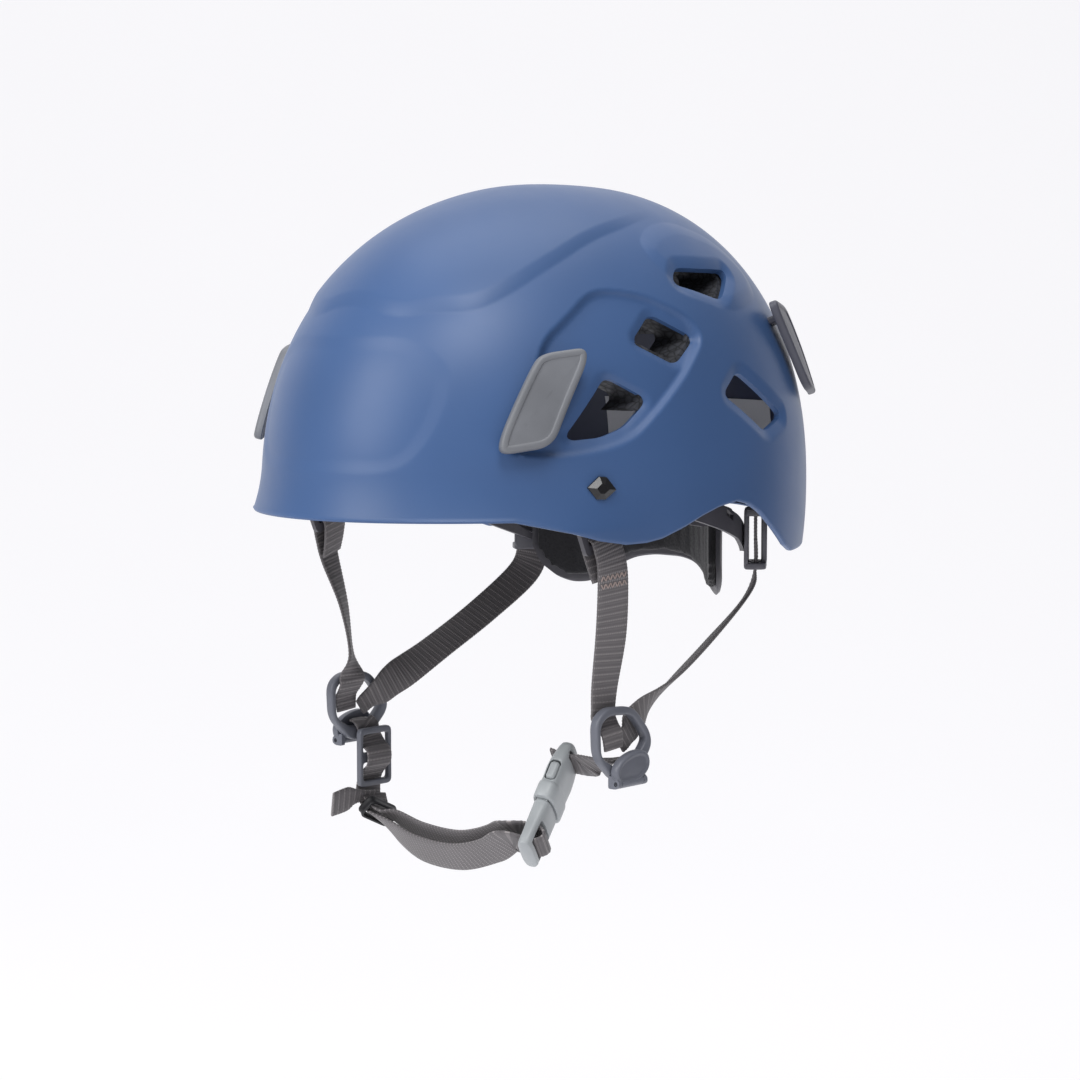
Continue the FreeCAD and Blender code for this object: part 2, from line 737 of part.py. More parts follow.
CRADLE_OUTLINE = [(0, 4), (30, 4), (50, -1), (56, -8), (56, -30), (52, -40), (45, -46),
                  (36, -46), (28, -38), (14, -33), (0, -32)]
cradle = oval_tube(-2.6, -0.6, -60.0, 20.0).common(rear_outline(CRADLE_OUTLINE))
boss = Part.makeCylinder(5.0, 3.2, V(0, 90.2, dim("adjuster_height")), V(0, 1, 0))
screw_hole = Part.makeCylinder(1.35, 20.0, V(0, 86, dim("adjuster_height")), V(0, 1, 0))
feature("cradle", one_solid(cradle.fuse(boss).cut(screw_hole)))

pad_outline = [(0, 2), (29, 2), (48, -3), (53, -9), (53, -29), (49, -38), (43, -43),
               (37, -43), (30, -36), (14, -30.5), (0, -29.5)]
feature("cradle_pad", one_solid(oval_tube(-6.8, -2.8, -60.0, 20.0).common(rear_outline(pad_outline))))


def build_adjuster_cover():
    """Housing over the tails and pinion, open at both ends for the tails."""
    half = dim("cover_width") / 2.0
    level = dim("adjuster_height")
    low = level - dim("cover_height") / 2.0
    wall = 2.0
    back = dim("cover_back")
    block = Part.makeBox(2 * half, back - 80.0, dim("cover_height"), V(-half, 80.0, low))
    edges = [e for e in block.Edges if abs(e.tangentAt(e.FirstParameter).y) > 0.99]
    block = block.makeFillet(5.0, edges)
    cavity = Part.makeBox(2 * half + 4, back - wall - 78.0, dim("cover_height") - 2 * wall,
                          V(-half - 2, 78.0, low + wall))
    inside = oval_face(-0.5, low - 5).extrude(V(0, 0, dim("cover_height") + 10))
    shape = block.cut(cavity).cut(inside)
    hole = Part.makeCylinder(3.05, 20.0, V(0, 95, level), V(0, 1, 0))
    return one_solid(shape.cut(hole))


feature("adjuster_cover", build_adjuster_cover())

# a hair's breadth that keeps a sketched circle's centre clear of the axis it would snap to
OFF_AXIS = 0.001

# hand wheel: knurled disc with a recess for the ratchet spring
level_point = V(0, dim("wheel_front"), dim("adjuster_height"))
wheel = new_body("adjuster_wheel", frame_at(level_point, V(1, 0, 0), V(0, 1, 0)))
rim_sketch = new_sketch(wheel, "rim")
draw_circle(rim_sketch, 15.0, "dims.wheel_radius")
rim_pad = pad(wheel, rim_sketch, "dims.wheel_thickness")
recess = new_sketch(wheel, "recess")
draw_circle(recess, 12.0, "dims.wheel_radius - 3")
draw_circle(recess, 4.6, "4.6 mm")
pocket(wheel, recess, "2.2 mm", midplane=False, reverse=True)
bore = new_sketch(wheel, "bore")
draw_circle(bore, 2.6, "2.6 mm")
pocket(wheel, bore, "60 mm")
grip = new_sketch(wheel, "grip")
draw_circle(grip, 1.3, "1.3 mm", x=15.4, y=OFF_AXIS)
grip_cut = pocket(wheel, grip, "60 mm")
grips = wheel.newObject("PartDesign::PolarPattern", "wheel_grips")
grips.Originals = [grip_cut]
grips.Axis = (rim_sketch, ["N_Axis"])
grips.Angle = 360
grips.setExpression("Occurrences", "dims.wheel_grips")
wheel.Tip = grips
keep(wheel, "adjuster_wheel")


def build_pinion():
    """Toothed pinion with a shaft through the cover and a square-shouldered spigot."""
    radius = dim("pinion_radius")
    teeth = int(dim("pinion_teeth"))
    tip = radius + 0.4
    start = 93.6
    level = dim("adjuster_height")
    shape = Part.makeCylinder(radius - 1.3, 5.8, V(0, 0, 0))
    for i in range(teeth):
        tooth = Part.Face(Part.makePolygon([
            V(radius - 1.8, -0.85, 0), V(tip, -0.35, 0), V(tip, 0.35, 0),
            V(radius - 1.8, 0.85, 0), V(radius - 1.8, -0.85, 0)])).extrude(V(0, 0, 5.8))
        tooth.rotate(V(0, 0, 0), V(0, 0, 1), 360.0 * (i + 0.5) / teeth)
        shape = shape.fuse(tooth)
    shape = shape.fuse(Part.makeCylinder(3.0, 8.8, V(0, 0, 0)))
    shape = shape.fuse(Part.makeCylinder(2.6, 13.2, V(0, 0, 0)))
    shape = shape.cut(Part.makeCylinder(1.35, 40.0, V(0, 0, -5)))
    shape.Placement = frame_at(V(0, start, level), V(1, 0, 0), V(0, 1, 0))
    return one_solid(shape)


feature("adjuster_pinion", build_pinion())

spring = new_body("ratchet_spring", frame_at(V(0, dim("cover_back") + 0.1, dim("adjuster_height")),
                                             V(1, 0, 0), V(0, 1, 0)))
ring = new_sketch(spring, "ring")
draw_circle(ring, 10.5, "dims.wheel_radius - 4.5")
draw_circle(ring, 7.5, "dims.wheel_radius - 7.5")
pad(spring, ring, "1.1 mm")
pawls = new_sketch(spring, "pawls")
for x in (-9.0, 9.0):
    draw_circle(pawls, 0.9, "0.9 mm", x=x, y=OFF_AXIS)
pad(spring, pawls, "2.0 mm")
keep(spring, "ratchet_spring")

# central screw, from the wheel through the pinion into the cradle's boss
screw = new_body("adjuster_screw", frame_at(V(0, 0, dim("adjuster_height")), V(0, 1, 0), V(1, 0, 0)))
profile = new_sketch(screw, "profile", role="XY_Plane")
draw_polygon(profile, [(89.6, 0), (89.6, 1.3), (109.3, 1.3), (109.3, 3.6), (110.6, 3.6), (111.3, 2.4),
                       (111.3, 0)])
turned = screw.newObject("PartDesign::Revolution", "screw_turned")
turned.Profile = profile
turned.ReferenceAxis = (profile, ["H_Axis"])
turned.Angle = 360
screw.Tip = turned
keep(screw, "adjuster_screw")


# ---------------------------------------------------------------- straps above the dividers
WIDE = dim("webbing_width")
FRONT_STRAP = [
    (V(83.2, -49.6, -26.0), V(0.28, 0.95, 0.16), WIDE),
    (V(80.6, -50.6, -19.0), V(0.20, 0.95, 0.22), WIDE),
    (V(78.2, -52.2, -10.6), V(0.10, 0.93, 0.30), WIDE),
    (V(78.4, -53.4, -7.4), V(0.05, 0.93, 0.34), WIDE),
    (V(81.3, -53.6, -6.4), V(0.05, 0.93, 0.34), WIDE),
    (V(84.2, -53.2, -7.6), V(0.05, 0.93, 0.34), WIDE),
    (V(85.4, -52.2, -11.6), V(0.10, 0.93, 0.30), WIDE),
    (V(86.4, -50.6, -18.0), V(0.20, 0.95, 0.22), WIDE),
    (V(85.6, -48.6, -28.6), V(0.30, 0.95, 0.16), WIDE),
    (V(81.0, -44.5, -50.0), V(0.32, 0.94, 0.08), WIDE),
    (V(76.9, -43.8, -72.0), V(0.10, 0.99, 0.0), WIDE),
    (V(76.2, -44.0, -82.0), V(0.0, 1.0, 0.05), WIDE),
    (V(76.3, -44.0, -85.6), V(0.0, 1.0, 0.05), WIDE),
    (V(78.4, -43.9, -89.0), V(0.0, 1.0, 0.05), WIDE - 1),
    (V(80.9, -43.6, -92.4), V(0.0, 1.0, 0.05), WIDE - 2),
    (V(81.2, -43.0, -98.8), V(0.0, 1.0, 0.05), WIDE - 3.5),
]
REAR_STRAP = [
    (V(72.0, 66.5, 10.0), V(-0.6, 0.8, 0.0), WIDE),
    (V(69.4, 68.4, 2.0), V(-0.6, 0.8, 0.0), WIDE),
    (V(68.3, 69.4, -6.0), V(-0.6, 0.8, 0.0), WIDE),
    (V(68.3, 69.4, -18.0), V(-0.6, 0.8, 0.0), WIDE),
    (V(68.3, 69.4, -31.0), V(-0.6, 0.8, 0.0), WIDE),
    (V(68.8, 63.0, -43.0), V(-0.74, 0.52, -0.40), WIDE),
    (V(70.6, 36.0, -59.5), V(-0.84, 0.29, -0.46), WIDE),
    (V(73.0, 8.0, -74.0), V(-0.84, 0.29, -0.46), WIDE),
    (V(74.2, -8.0, -81.6), V(-0.66, 0.42, -0.62), WIDE),
    (V(75.6, -19.0, -87.0), V(-0.20, 0.58, -0.78), WIDE),
    (V(76.0, -26.0, -91.2), V(0.0, 0.616, -0.788), WIDE - 1),
    (V(78.2, -30.8, -94.2), V(0.0, 0.616, -0.788), WIDE - 5),
    (V(78.9, -34.2, -96.6), V(0.0, 0.616, -0.788), WIDE - 6),
    (V(78.9, -36.4, -98.2), V(0.0, 0.616, -0.788), WIDE - 7),
]
# the right front strap hangs with its lower part turned on edge
TURNED = {-50.0: V(-0.56, 0.83, 0.0), -72.0: V(-0.66, 0.75, 0.0)}
for side in (1, -1):
    route = mirrored(FRONT_STRAP, side)
    if side < 0:
        route = [(p, TURNED.get(p.z, w), width) for p, w, width in route]
    feature("front_strap_" + side_name(side), ribbon(route))
for side in (1, -1):
    feature("rear_strap_" + side_name(side), ribbon(mirrored(REAR_STRAP, side)))


# ---------------------------------------------------------------- dividers and their locks
DIVIDER_OUTLINE = [(-18.2, 12.4), (-11.0, 17.4), (6.0, 16.2), (17.2, 4.2), (18.0, -3.0),
                   (5.5, -15.0), (-5.5, -15.0), (-17.4, -3.5)]
DIVIDER_WINDOW = [(-15.2, 10.4), (-9.6, 13.8), (4.6, 12.8), (14.4, 1.6), (12.0, -2.0),
                  (5.0, -8.4), (-6.0, -8.4), (-14.6, -3.4)]
LUG_INNER = 7.2
LUG_OUTER = 9.2


def divider_frame(side):
    """z outwards, x rearwards on the left and forwards on the right, y up."""
    point = V(side * dim("divider_face"), dim("divider_station"), dim("divider_height"))
    return frame_at(point, V(0, side, 0), V(side, 0, 0))


for side in (1, -1):
    name = "divider_" + side_name(side)
    body = new_body(name, divider_frame(side))
    plate = new_sketch(body, "plate")
    draw_polygon(plate, [(side * x, y) for x, y in DIVIDER_OUTLINE])
    round_corners(body, pad(body, plate, "dims.divider_thickness"), 3.0)
    window = new_sketch(body, "window")
    draw_polygon(window, [(side * x, y) for x, y in DIVIDER_WINDOW])
    pocket(body, window, "dims.divider_thickness * 4")
    lugs = new_sketch(body, "lugs")
    drop = -dim("lock_hinge_drop")
    for x0, x1 in ((LUG_INNER, LUG_OUTER), (-LUG_OUTER, -LUG_INNER)):
        draw_rectangle(lugs, x0, drop - 2.2, x1, drop + 3.4)
    pad(body, lugs, "dims.lock_hinge_out + 2.2")
    pin_sketch = new_sketch(body, "pin_bores", role="YZ_Plane")
    draw_circle(pin_sketch, 1.0, "dims.lock_pin_radius", x=drop, y=dim("lock_hinge_out"))
    pocket(body, pin_sketch, "40 mm")
    keep(body, name)


def build_lock(side):
    """Oval flip cover that clamps the webbing, with its hinge barrel."""
    out = dim("lock_hinge_out")
    drop = -dim("lock_hinge_drop")
    plate = Part.makeCylinder(1.0, dim("lock_thickness"), V(0, 0, 0))
    stretch = FreeCAD.Matrix()
    stretch.scale(11.0, 6.6, 1.0)
    plate = plate.transformGeometry(stretch)
    plate.rotate(V(0, 0, 0), V(0, 0, 1), side * 14.0)
    plate.translate(V(side * 0.8, -9.0, dim("divider_thickness") + 0.5))
    plate = plate.cut(Part.makeBox(40, 20, 20, V(-20, drop - 20.2, 0)))
    clearance = Part.makeBox(2 * LUG_OUTER + 4, 11.2, 20, V(-LUG_OUTER - 2, drop - 7, 0))
    plate = plate.cut(clearance.cut(Part.makeBox(2 * LUG_INNER - 0.6, 14, 20,
                                                 V(-LUG_INNER + 0.3, drop - 8, 0))))
    barrel = Part.makeCylinder(2.0, 2 * LUG_INNER - 0.6, V(-LUG_INNER + 0.3, drop, out), V(1, 0, 0))
    bore = Part.makeCylinder(dim("lock_pin_radius") + 0.05, 40, V(-20, drop, out), V(1, 0, 0))
    shape = plate.fuse(barrel).cut(bore)
    shape.Placement = divider_frame(side)
    return one_solid(shape)


for side in (1, -1):
    feature("divider_lock_" + side_name(side), build_lock(side))

pins = []
for side in (1, -1):
    pin = Part.makeCylinder(dim("lock_pin_radius"), 2 * LUG_OUTER,
                            V(-LUG_OUTER, -dim("lock_hinge_drop"), dim("lock_hinge_out")), V(1, 0, 0))
    pin.Placement = divider_frame(side)
    pins.append(pin)
feature("divider_pins", Part.makeCompound(pins))


# ---------------------------------------------------------------- buckle
BUCKLE_LONG = V(-0.128, 0.660, 0.740).normalize()
BUCKLE_OUT = V(0.924, 0.348, -0.151).normalize()
BUCKLE_CENTRE = V(54.7, -54.0, -123.0)
BUCKLE_FRAME = frame_at(BUCKLE_CENTRE, BUCKLE_LONG, BUCKLE_OUT)


def buckle_point(x, y, z):
    return BUCKLE_FRAME.multVec(V(x, y, z))


female = new_body("buckle_female", BUCKLE_FRAME)
outline = new_sketch(female, "outline")
draw_polygon(outline, [(-4, -11.5), (12, -11.8), (20, -10), (27, -7), (27, 7), (20, 10),
                       (12, 11.8), (-4, 11.5)])
shell_pad = pad(female, outline, "dims.buckle_thickness", midplane=True)
round_corners(female, shell_pad, 1.5)
cavity = new_sketch(female, "cavity")
draw_rectangle(cavity, -6, -9.3, 15, 9.3)
pocket(female, cavity, "dims.buckle_inner_thickness + 0.6")
windows = new_sketch(female, "windows")
draw_rectangle(windows, 4.5, -14, 14.5, 14)
pocket(female, windows, "dims.buckle_inner_thickness + 0.6")
tail_slot = new_sketch(female, "tail_slot")
draw_rectangle(tail_slot, 18.4, -8, 22.4, 8, height="dims.webbing_width + 1")
pocket(female, tail_slot, "dims.buckle_thickness * 2")
keep(female, "buckle_female")

male = new_body("buckle_male", BUCKLE_FRAME)
plate = new_sketch(male, "frame")
draw_polygon(plate, [(-27, -10.2), (-4.6, -9.0), (-4.6, 9.0), (-27, 10.2)])
frame_pad = pad(male, plate, "7 mm", midplane=True)
round_corners(male, frame_pad, 1.2)
loops = new_sketch(male, "loops")
draw_rectangle(loops, -24.6, -8.1, -20.3, 8.1)
draw_rectangle(loops, -18.1, -8.1, -13.8, 8.1)
pocket(male, loops, "30 mm")
middle = new_sketch(male, "middle_relief")
draw_rectangle(middle, -21.0, -8.1, -17.4, 8.1)
relief = pocket(male, middle, "4 mm", midplane=False, reverse=True)
relief.setExpression("Length", "2 mm")
prongs = new_sketch(male, "prongs")
for y0, y1 in ((6.4, 8.9), (-8.9, -6.4)):
    draw_rectangle(prongs, -6.0, y0, 12.6, y1)
draw_rectangle(prongs, -6.0, -2.4, 9.0, 2.4)
pad(male, prongs, "dims.buckle_inner_thickness", midplane=True)
keep(male, "buckle_male")


# ---------------------------------------------------------------- chin webbing and sliders
UP_FORWARD = BUCKLE_FRAME.Rotation.multVec(V(0, 1, 0))
NARROW = 11.0
CHIN_LEFT = [
    (V(81.8, -38.6, -104.0), V(0.0, 1.0, 0.0), NARROW),
    (V(79.6, -38.6, -104.0), V(0.0, 1.0, 0.0), NARROW),
    (V(76.0, -38.8, -104.2), V(0.0, 1.0, -0.1), NARROW),
    (V(71.0, -39.4, -105.8), V(-0.15, 0.85, -0.4), WIDE - 2),
    (V(63.4, -39.2, -107.6), V(-0.33, 0.67, -0.6), WIDE),
    (buckle_point(20.4, 0, 7.6), UP_FORWARD * -1, WIDE),
    (buckle_point(20.4, 0, 0.0), UP_FORWARD * -1, WIDE),
    (buckle_point(21.2, 0, -6.2), UP_FORWARD * -1, WIDE),
]
feature("chin_strap_left", ribbon(CHIN_LEFT))

# the right-hand webbing: divider, slider, under the chin, round the buckle's middle bar and
# back as a second layer, which ends in a free tail folded forwards at the keeper
SLIDER_CENTRE = V(-73.4, -33.0, -120.5)
ACROSS = V(0, -1, 0)
CHIN_RIGHT = [
    (V(-81.8, -36.4, -104.0), ACROSS, NARROW),
    (V(-79.6, -36.0, -104.0), ACROSS, NARROW),
    (V(-77.3, -36.3, -104.8), ACROSS, NARROW),
    (V(-76.6, -34.6, -107.4), ACROSS, WIDE - 1),
    (V(-76.4, -33.3, -110.8), ACROSS, WIDE - 0.5),
    (V(-73.6, -33.0, -114.9), ACROSS, WIDE),
    (V(-70.2, -33.0, -117.8), ACROSS, WIDE),
    (V(-70.2, -33.0, -123.2), ACROSS, WIDE),
    (V(-73.4, -33.0, -126.6), ACROSS, WIDE),
    (V(-76.4, -33.0, -130.6), ACROSS, WIDE),
    (V(-76.8, -33.6, -136.0), ACROSS, WIDE),
    (V(-74.6, -34.8, -141.6), V(-0.02, -0.95, 0.25), WIDE),
    (V(-66.0, -37.6, -147.6), V(0.03, -0.87, 0.49), WIDE),
    (V(-50.0, -42.8, -151.4), V(0.15, -0.60, 0.75), WIDE),
    (V(-25.0, -51.6, -154.4), V(0.25, -0.52, 0.82), WIDE),
    (V(6.0, -60.6, -152.4), V(0.32, -0.56, 0.76), WIDE),
    (V(32.0, -67.0, -145.2), V(0.36, -0.64, 0.68), WIDE),
    (buckle_point(-22.6, 0, -11.0), UP_FORWARD, WIDE),
    (buckle_point(-22.4, 0, -4.0), UP_FORWARD, WIDE),
    (buckle_point(-22.2, 0, 3.0), UP_FORWARD, WIDE),
    (buckle_point(-19.1, 0, 5.8), UP_FORWARD, WIDE),
    (buckle_point(-16.0, 0, 3.0), UP_FORWARD, WIDE),
    (buckle_point(-15.8, 0, -4.0), UP_FORWARD, WIDE),
    (buckle_point(-17.4, 0, -11.0), UP_FORWARD, WIDE),
    (V(33.0, -63.6, -139.6), V(0.36, -0.64, 0.68), WIDE),
    (V(7.0, -56.4, -147.0), V(0.32, -0.56, 0.76), WIDE),
    (V(-24.0, -47.4, -149.2), V(0.25, -0.52, 0.82), WIDE),
    (V(-48.6, -39.4, -147.2), V(0.15, -0.60, 0.75), WIDE),
    (V(-58.9, -37.8, -146.2), V(0.03, -0.86, 0.49), WIDE),
    (V(-66.1, -36.0, -144.0), V(0.015, -0.91, 0.41), WIDE),
    (V(-69.7, -35.0, -141.7), V(0.0, -0.95, 0.25), WIDE),
    (V(-72.4, -34.3, -137.4), V(0.0, -0.97, 0.15), WIDE),
]
TAIL = [
    (V(-71.9, -34.6, -138.3), V(0.34, 0.0, 0.94), WIDE - 10),
    (V(-72.0, -41.0, -137.9), V(0.34, 0.0, 0.94), WIDE - 9.5),
    (V(-72.2, -46.5, -137.6), V(0.34, 0.0, 0.94), WIDE - 7),
    (V(-72.8, -51.0, -138.2), V(0.36, 0.0, 0.93), WIDE - 2),
    (V(-74.0, -59.0, -139.8), V(0.38, 0.0, 0.92), WIDE - 2),
]
feature("chin_strap_right", one_solid(ribbon(CHIN_RIGHT).fuse(ribbon(TAIL))))


def build_keeper():
    """Rubber loop that holds the two layers of webbing together."""
    around = 19.4
    deep = 10.2
    length = 4.5
    wall = 1.2
    outer = Part.makeBox(around, deep, length, V(-around / 2, -deep / 2, -length / 2))
    outer = outer.makeFillet(3.4, [e for e in outer.Edges if abs(e.tangentAt(0).z) > 0.99])
    inner = Part.makeBox(around - 2 * wall, deep - 2 * wall, 3 * length,
                         V(-around / 2 + wall, -deep / 2 + wall, -1.5 * length))
    inner = inner.makeFillet(1.6, [e for e in inner.Edges if abs(e.tangentAt(0).z) > 0.99])
    ring = outer.cut(inner)
    ring.Placement = frame_at(V(-67.05, -36.4, -145.1), V(0.015, -0.91, 0.41), V(0.79, -0.26, -0.55))
    return one_solid(ring)


feature("keeper_ring", build_keeper())

slider = new_body("chin_slider", frame_at(SLIDER_CENTRE, V(0, -1, 0), V(-1, 0, 0)))
plate = new_sketch(slider, "plate")
draw_rectangle(plate, -10.0, -13.5, 10.0, 13.5, "dims.slider_width", "dims.slider_length")
slider_pad = pad(slider, plate, "dims.slider_thickness", midplane=True)
round_corners(slider, slider_pad, 2.5)
slots = new_sketch(slider, "slots")
for y0, y1 in ((2.2, 10.6), (-10.8, -2.4)):
    draw_rectangle(slots, -8.0, y0, 8.0, y1)
pocket(slider, slots, "dims.slider_thickness * 4")
keep(slider, "chin_slider")


# ---------------------------------------------------------------- check and write
doc.recompute()
problems = []
for obj in doc.Objects:
    if "Invalid" in obj.State or "Error" in obj.State:
        problems.append("%s is %s" % (obj.Label, obj.State))
for obj in parts:
    shape = obj.Shape
    if shape.isNull() or not shape.isValid():
        problems.append("%s has no valid shape" % obj.Label)
    elif not shape.Solids or min(s.Volume for s in shape.Solids) <= 0:
        problems.append("%s has no solid" % obj.Label)
if problems:
    raise RuntimeError("; ".join(problems))

os.makedirs("parts", exist_ok=True)
for obj in parts:
    obj.Shape.exportStep("parts/%s.step" % obj.Label)
    print("%-22s %d solids %9.0f mm3" % (obj.Label, len(obj.Shape.Solids), obj.Shape.Volume))
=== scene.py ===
"""Looks of the climbing helmet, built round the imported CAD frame.

Lengths in this file are millimetres in the frame's own axes unless a name says otherwise;
meshes are written in metres.  +Z is up, the front of the helmet faces -Y and +X is the
wearer's left.
"""

import json
import math

import bmesh
import bpy
import numpy as np
from mathutils import Matrix, Vector


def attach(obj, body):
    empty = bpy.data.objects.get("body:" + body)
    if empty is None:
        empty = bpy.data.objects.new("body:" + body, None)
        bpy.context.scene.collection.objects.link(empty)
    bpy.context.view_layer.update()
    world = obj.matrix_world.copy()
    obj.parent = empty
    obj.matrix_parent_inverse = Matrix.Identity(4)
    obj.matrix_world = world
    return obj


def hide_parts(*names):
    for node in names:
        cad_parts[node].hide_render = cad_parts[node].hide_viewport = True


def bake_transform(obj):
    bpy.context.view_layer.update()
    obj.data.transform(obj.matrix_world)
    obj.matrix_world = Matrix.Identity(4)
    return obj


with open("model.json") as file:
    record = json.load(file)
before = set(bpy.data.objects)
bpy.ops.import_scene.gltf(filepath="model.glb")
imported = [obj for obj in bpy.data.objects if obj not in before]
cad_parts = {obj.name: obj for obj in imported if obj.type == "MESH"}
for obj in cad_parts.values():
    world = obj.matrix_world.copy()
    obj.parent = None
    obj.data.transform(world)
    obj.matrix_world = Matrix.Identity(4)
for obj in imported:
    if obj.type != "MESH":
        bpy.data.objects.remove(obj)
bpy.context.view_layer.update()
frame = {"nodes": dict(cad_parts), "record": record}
nodes = frame["nodes"]

MM = 0.001
SIDES = ((1, "left"), (-1, "right"))
LOCAL = Matrix.Identity(4)


def linked(name, data):
    """A new object in the scene."""
    obj = bpy.data.objects.new(name, data)
    bpy.context.scene.collection.objects.link(obj)
    return obj


def final_mesh(obj):
    """The object's mesh with its modifiers applied."""
    graph = bpy.context.evaluated_depsgraph_get()
    return bpy.data.meshes.new_from_object(obj.evaluated_get(graph))


# ------------------------------------------------------------------ node materials
class Graph:
    """A short way to write a material's node graph."""

    def __init__(self, name):
        self.material = bpy.data.materials.new(name)
        self.material.use_nodes = True
        self.tree = self.material.node_tree
        self.tree.nodes.clear()
        self.output = self.tree.nodes.new("ShaderNodeOutputMaterial")
        self.shader = self.tree.nodes.new("ShaderNodeBsdfPrincipled")
        self.link(self.shader.outputs[0], self.output.inputs[0])

    def link(self, source, target):
        self.tree.links.new(source, target)

    def feed(self, socket, value):
        """Give a socket a number, a colour or another node's output."""
        if isinstance(value, tuple):
            socket.default_value = (*value, 1.0)
        elif isinstance(value, (int, float)):
            socket.default_value = value
        else:
            self.link(value, socket)

    def node(self, kind, sockets=None, **values):
        """A new node with its properties set and its named sockets fed."""
        made = self.tree.nodes.new(kind)
        for key, value in values.items():
            setattr(made, key, value)
        for key, value in (sockets or {}).items():
            self.feed(made.inputs[key], value)
        return made

    def place(self, scale=1000.0):
        """Object coordinates; the scale of 1000 turns metres into millimetres."""
        coordinates = self.node("ShaderNodeTexCoord")
        mapping = self.node("ShaderNodeMapping", {"Vector": coordinates.outputs["Object"]})
        if isinstance(scale, (int, float)):
            scale = (scale, scale, scale)
        mapping.inputs["Scale"].default_value = scale
        return mapping.outputs["Vector"]

    def noise(self, vector, size, detail=2.0, rough=0.5):
        made = self.node("ShaderNodeTexNoise", {"Scale": 1.0 / size, "Detail": detail,
                                                "Roughness": rough, "Vector": vector})
        return made.outputs["Fac"]

    def cells(self, vector, size, feature="F1"):
        return self.node("ShaderNodeTexVoronoi", {"Scale": 1.0 / size, "Vector": vector},
                         feature=feature).outputs["Distance"]

    def ramp(self, factor, stops):
        made = self.node("ShaderNodeValToRGB", {"Fac": factor})
        ramp = made.color_ramp
        while len(ramp.elements) > len(stops):
            ramp.elements.remove(ramp.elements[-1])
        while len(ramp.elements) < len(stops):
            ramp.elements.new(0.5)
        for element, (position, colour) in zip(ramp.elements, stops):
            element.position = position
            element.color = (*colour, 1.0)
        return made.outputs["Color"]

    def math(self, operation, first, second=None, clamp=False):
        made = self.node("ShaderNodeMath", operation=operation, use_clamp=clamp)
        for socket, value in zip(made.inputs, (first, second)):
            if value is not None:
                self.feed(socket, value)
        return made.outputs[0]

    def mix(self, factor, first, second, blend="MIX"):
        made = self.node("ShaderNodeMix", data_type="RGBA", blend_type=blend)
        # of a mix node's sockets, 6 and 7 are its colours
        for socket, value in ((0, factor), (6, first), (7, second)):
            self.feed(made.inputs[socket], value)
        return made.outputs[2]

    def bump(self, height, strength, distance_mm):
        made = self.node("ShaderNodeBump", {"Strength": strength, "Distance": distance_mm * MM,
                                            "Height": height})
        self.link(made.outputs["Normal"], self.shader.inputs["Normal"])

    def set(self, **values):
        for key, value in values.items():
            self.feed(self.shader.inputs[key.replace("_", " ")], value)

    def rough(self, factor, low, high):
        """Roughness that follows a factor between two values."""
        made = self.node("ShaderNodeMapRange", {"To Min": low, "To Max": high, "Value": factor})
        self.link(made.outputs["Result"], self.shader.inputs["Roughness"])


def shade(colour, factor):
    return tuple(min(1.0, c * factor) for c in colour)


def moulded(name, colour, roughness, grain=0.35, depth=0.03, variety=0.12, edge=1.25):
    """Moulded plastic: fine spark-eroded grain, slow colour drift and a painted highlight on sharp
    edges, broken up by noise; edge sets how light the highlight is.
    """
    g = Graph(name)
    place = g.place()
    drift = g.noise(place, 28.0, 3.0)
    tint = g.ramp(drift, [(0.3, shade(colour, 1.0 - variety)), (0.7, shade(colour, 1.0 + variety))])
    # painted highlight: sharp convex edges turn lighter in patches, standing in for light catching
    # the edges
    geometry = g.node("ShaderNodeNewGeometry")
    edge_highlight_mask = g.ramp(geometry.outputs["Pointiness"], [(0.52, (0, 0, 0)), (0.60, (1, 1, 1))])
    highlight_breakup = g.noise(place, 3.0, 4.0, 0.7)
    painted_edge_highlight = g.math("MULTIPLY", edge_highlight_mask, highlight_breakup, clamp=True)
    g.set(Base_Color=g.mix(painted_edge_highlight, tint, shade(colour, edge)))
    grain_noise = g.noise(place, grain, 1.0)
    g.rough(g.noise(place, 9.0, 3.0), roughness - 0.06, roughness + 0.08)
    g.bump(grain_noise, 0.35, depth)
    return g.material


def shell_material(name, colour, coat):
    """Satin in-moulded shell: deep colour, faint orange peel and hairline scratches."""
    g = Graph(name)
    place = g.place()
    drift = g.noise(place, 90.0, 2.0)
    tint = g.ramp(drift, [(0.35, shade(colour, 0.94)), (0.65, shade(colour, 1.06))])
    long_way = g.place(scale=(1000.0, 130.0, 700.0))
    hair = g.noise(long_way, 1.1, 6.0, 0.85)
    scratch = g.ramp(hair, [(0.66, (0, 0, 0)), (0.74, (0.35, 0.35, 0.35))])
    g.set(Base_Color=g.mix(g.math("MULTIPLY", scratch, 0.25), tint, shade(colour, 1.7)))
    g.set(Coat_Weight=coat, Coat_Roughness=0.36, Specular_IOR_Level=0.40)
    g.rough(g.noise(place, 14.0, 3.0), 0.40, 0.50)
    peel = g.noise(place, 0.9, 2.0)
    g.bump(peel, 0.10, 0.03)
    return g.material


def foam_material(name, colour):
    """Expanded polystyrene: fused beads with dark seams."""
    g = Graph(name)
    place = g.place()
    bead = g.cells(place, 3.4)
    seam = g.cells(place, 3.4, "DISTANCE_TO_EDGE")
    beads = g.ramp(bead, [(0.1, shade(colour, 2.1)), (0.6, shade(colour, 0.7))])
    dark = g.ramp(seam, [(0.0, (0, 0, 0)), (0.12, (1, 1, 1))])
    blot = g.noise(place, 6.0, 4.0, 0.7)
    mottled = g.mix(blot, beads, shade(colour, 3.2))
    g.set(Base_Color=g.mix(0.75, mottled, dark, "MULTIPLY"))
    g.rough(bead, 0.55, 0.9)
    g.bump(seam, 0.6, 0.5)
    return g.material


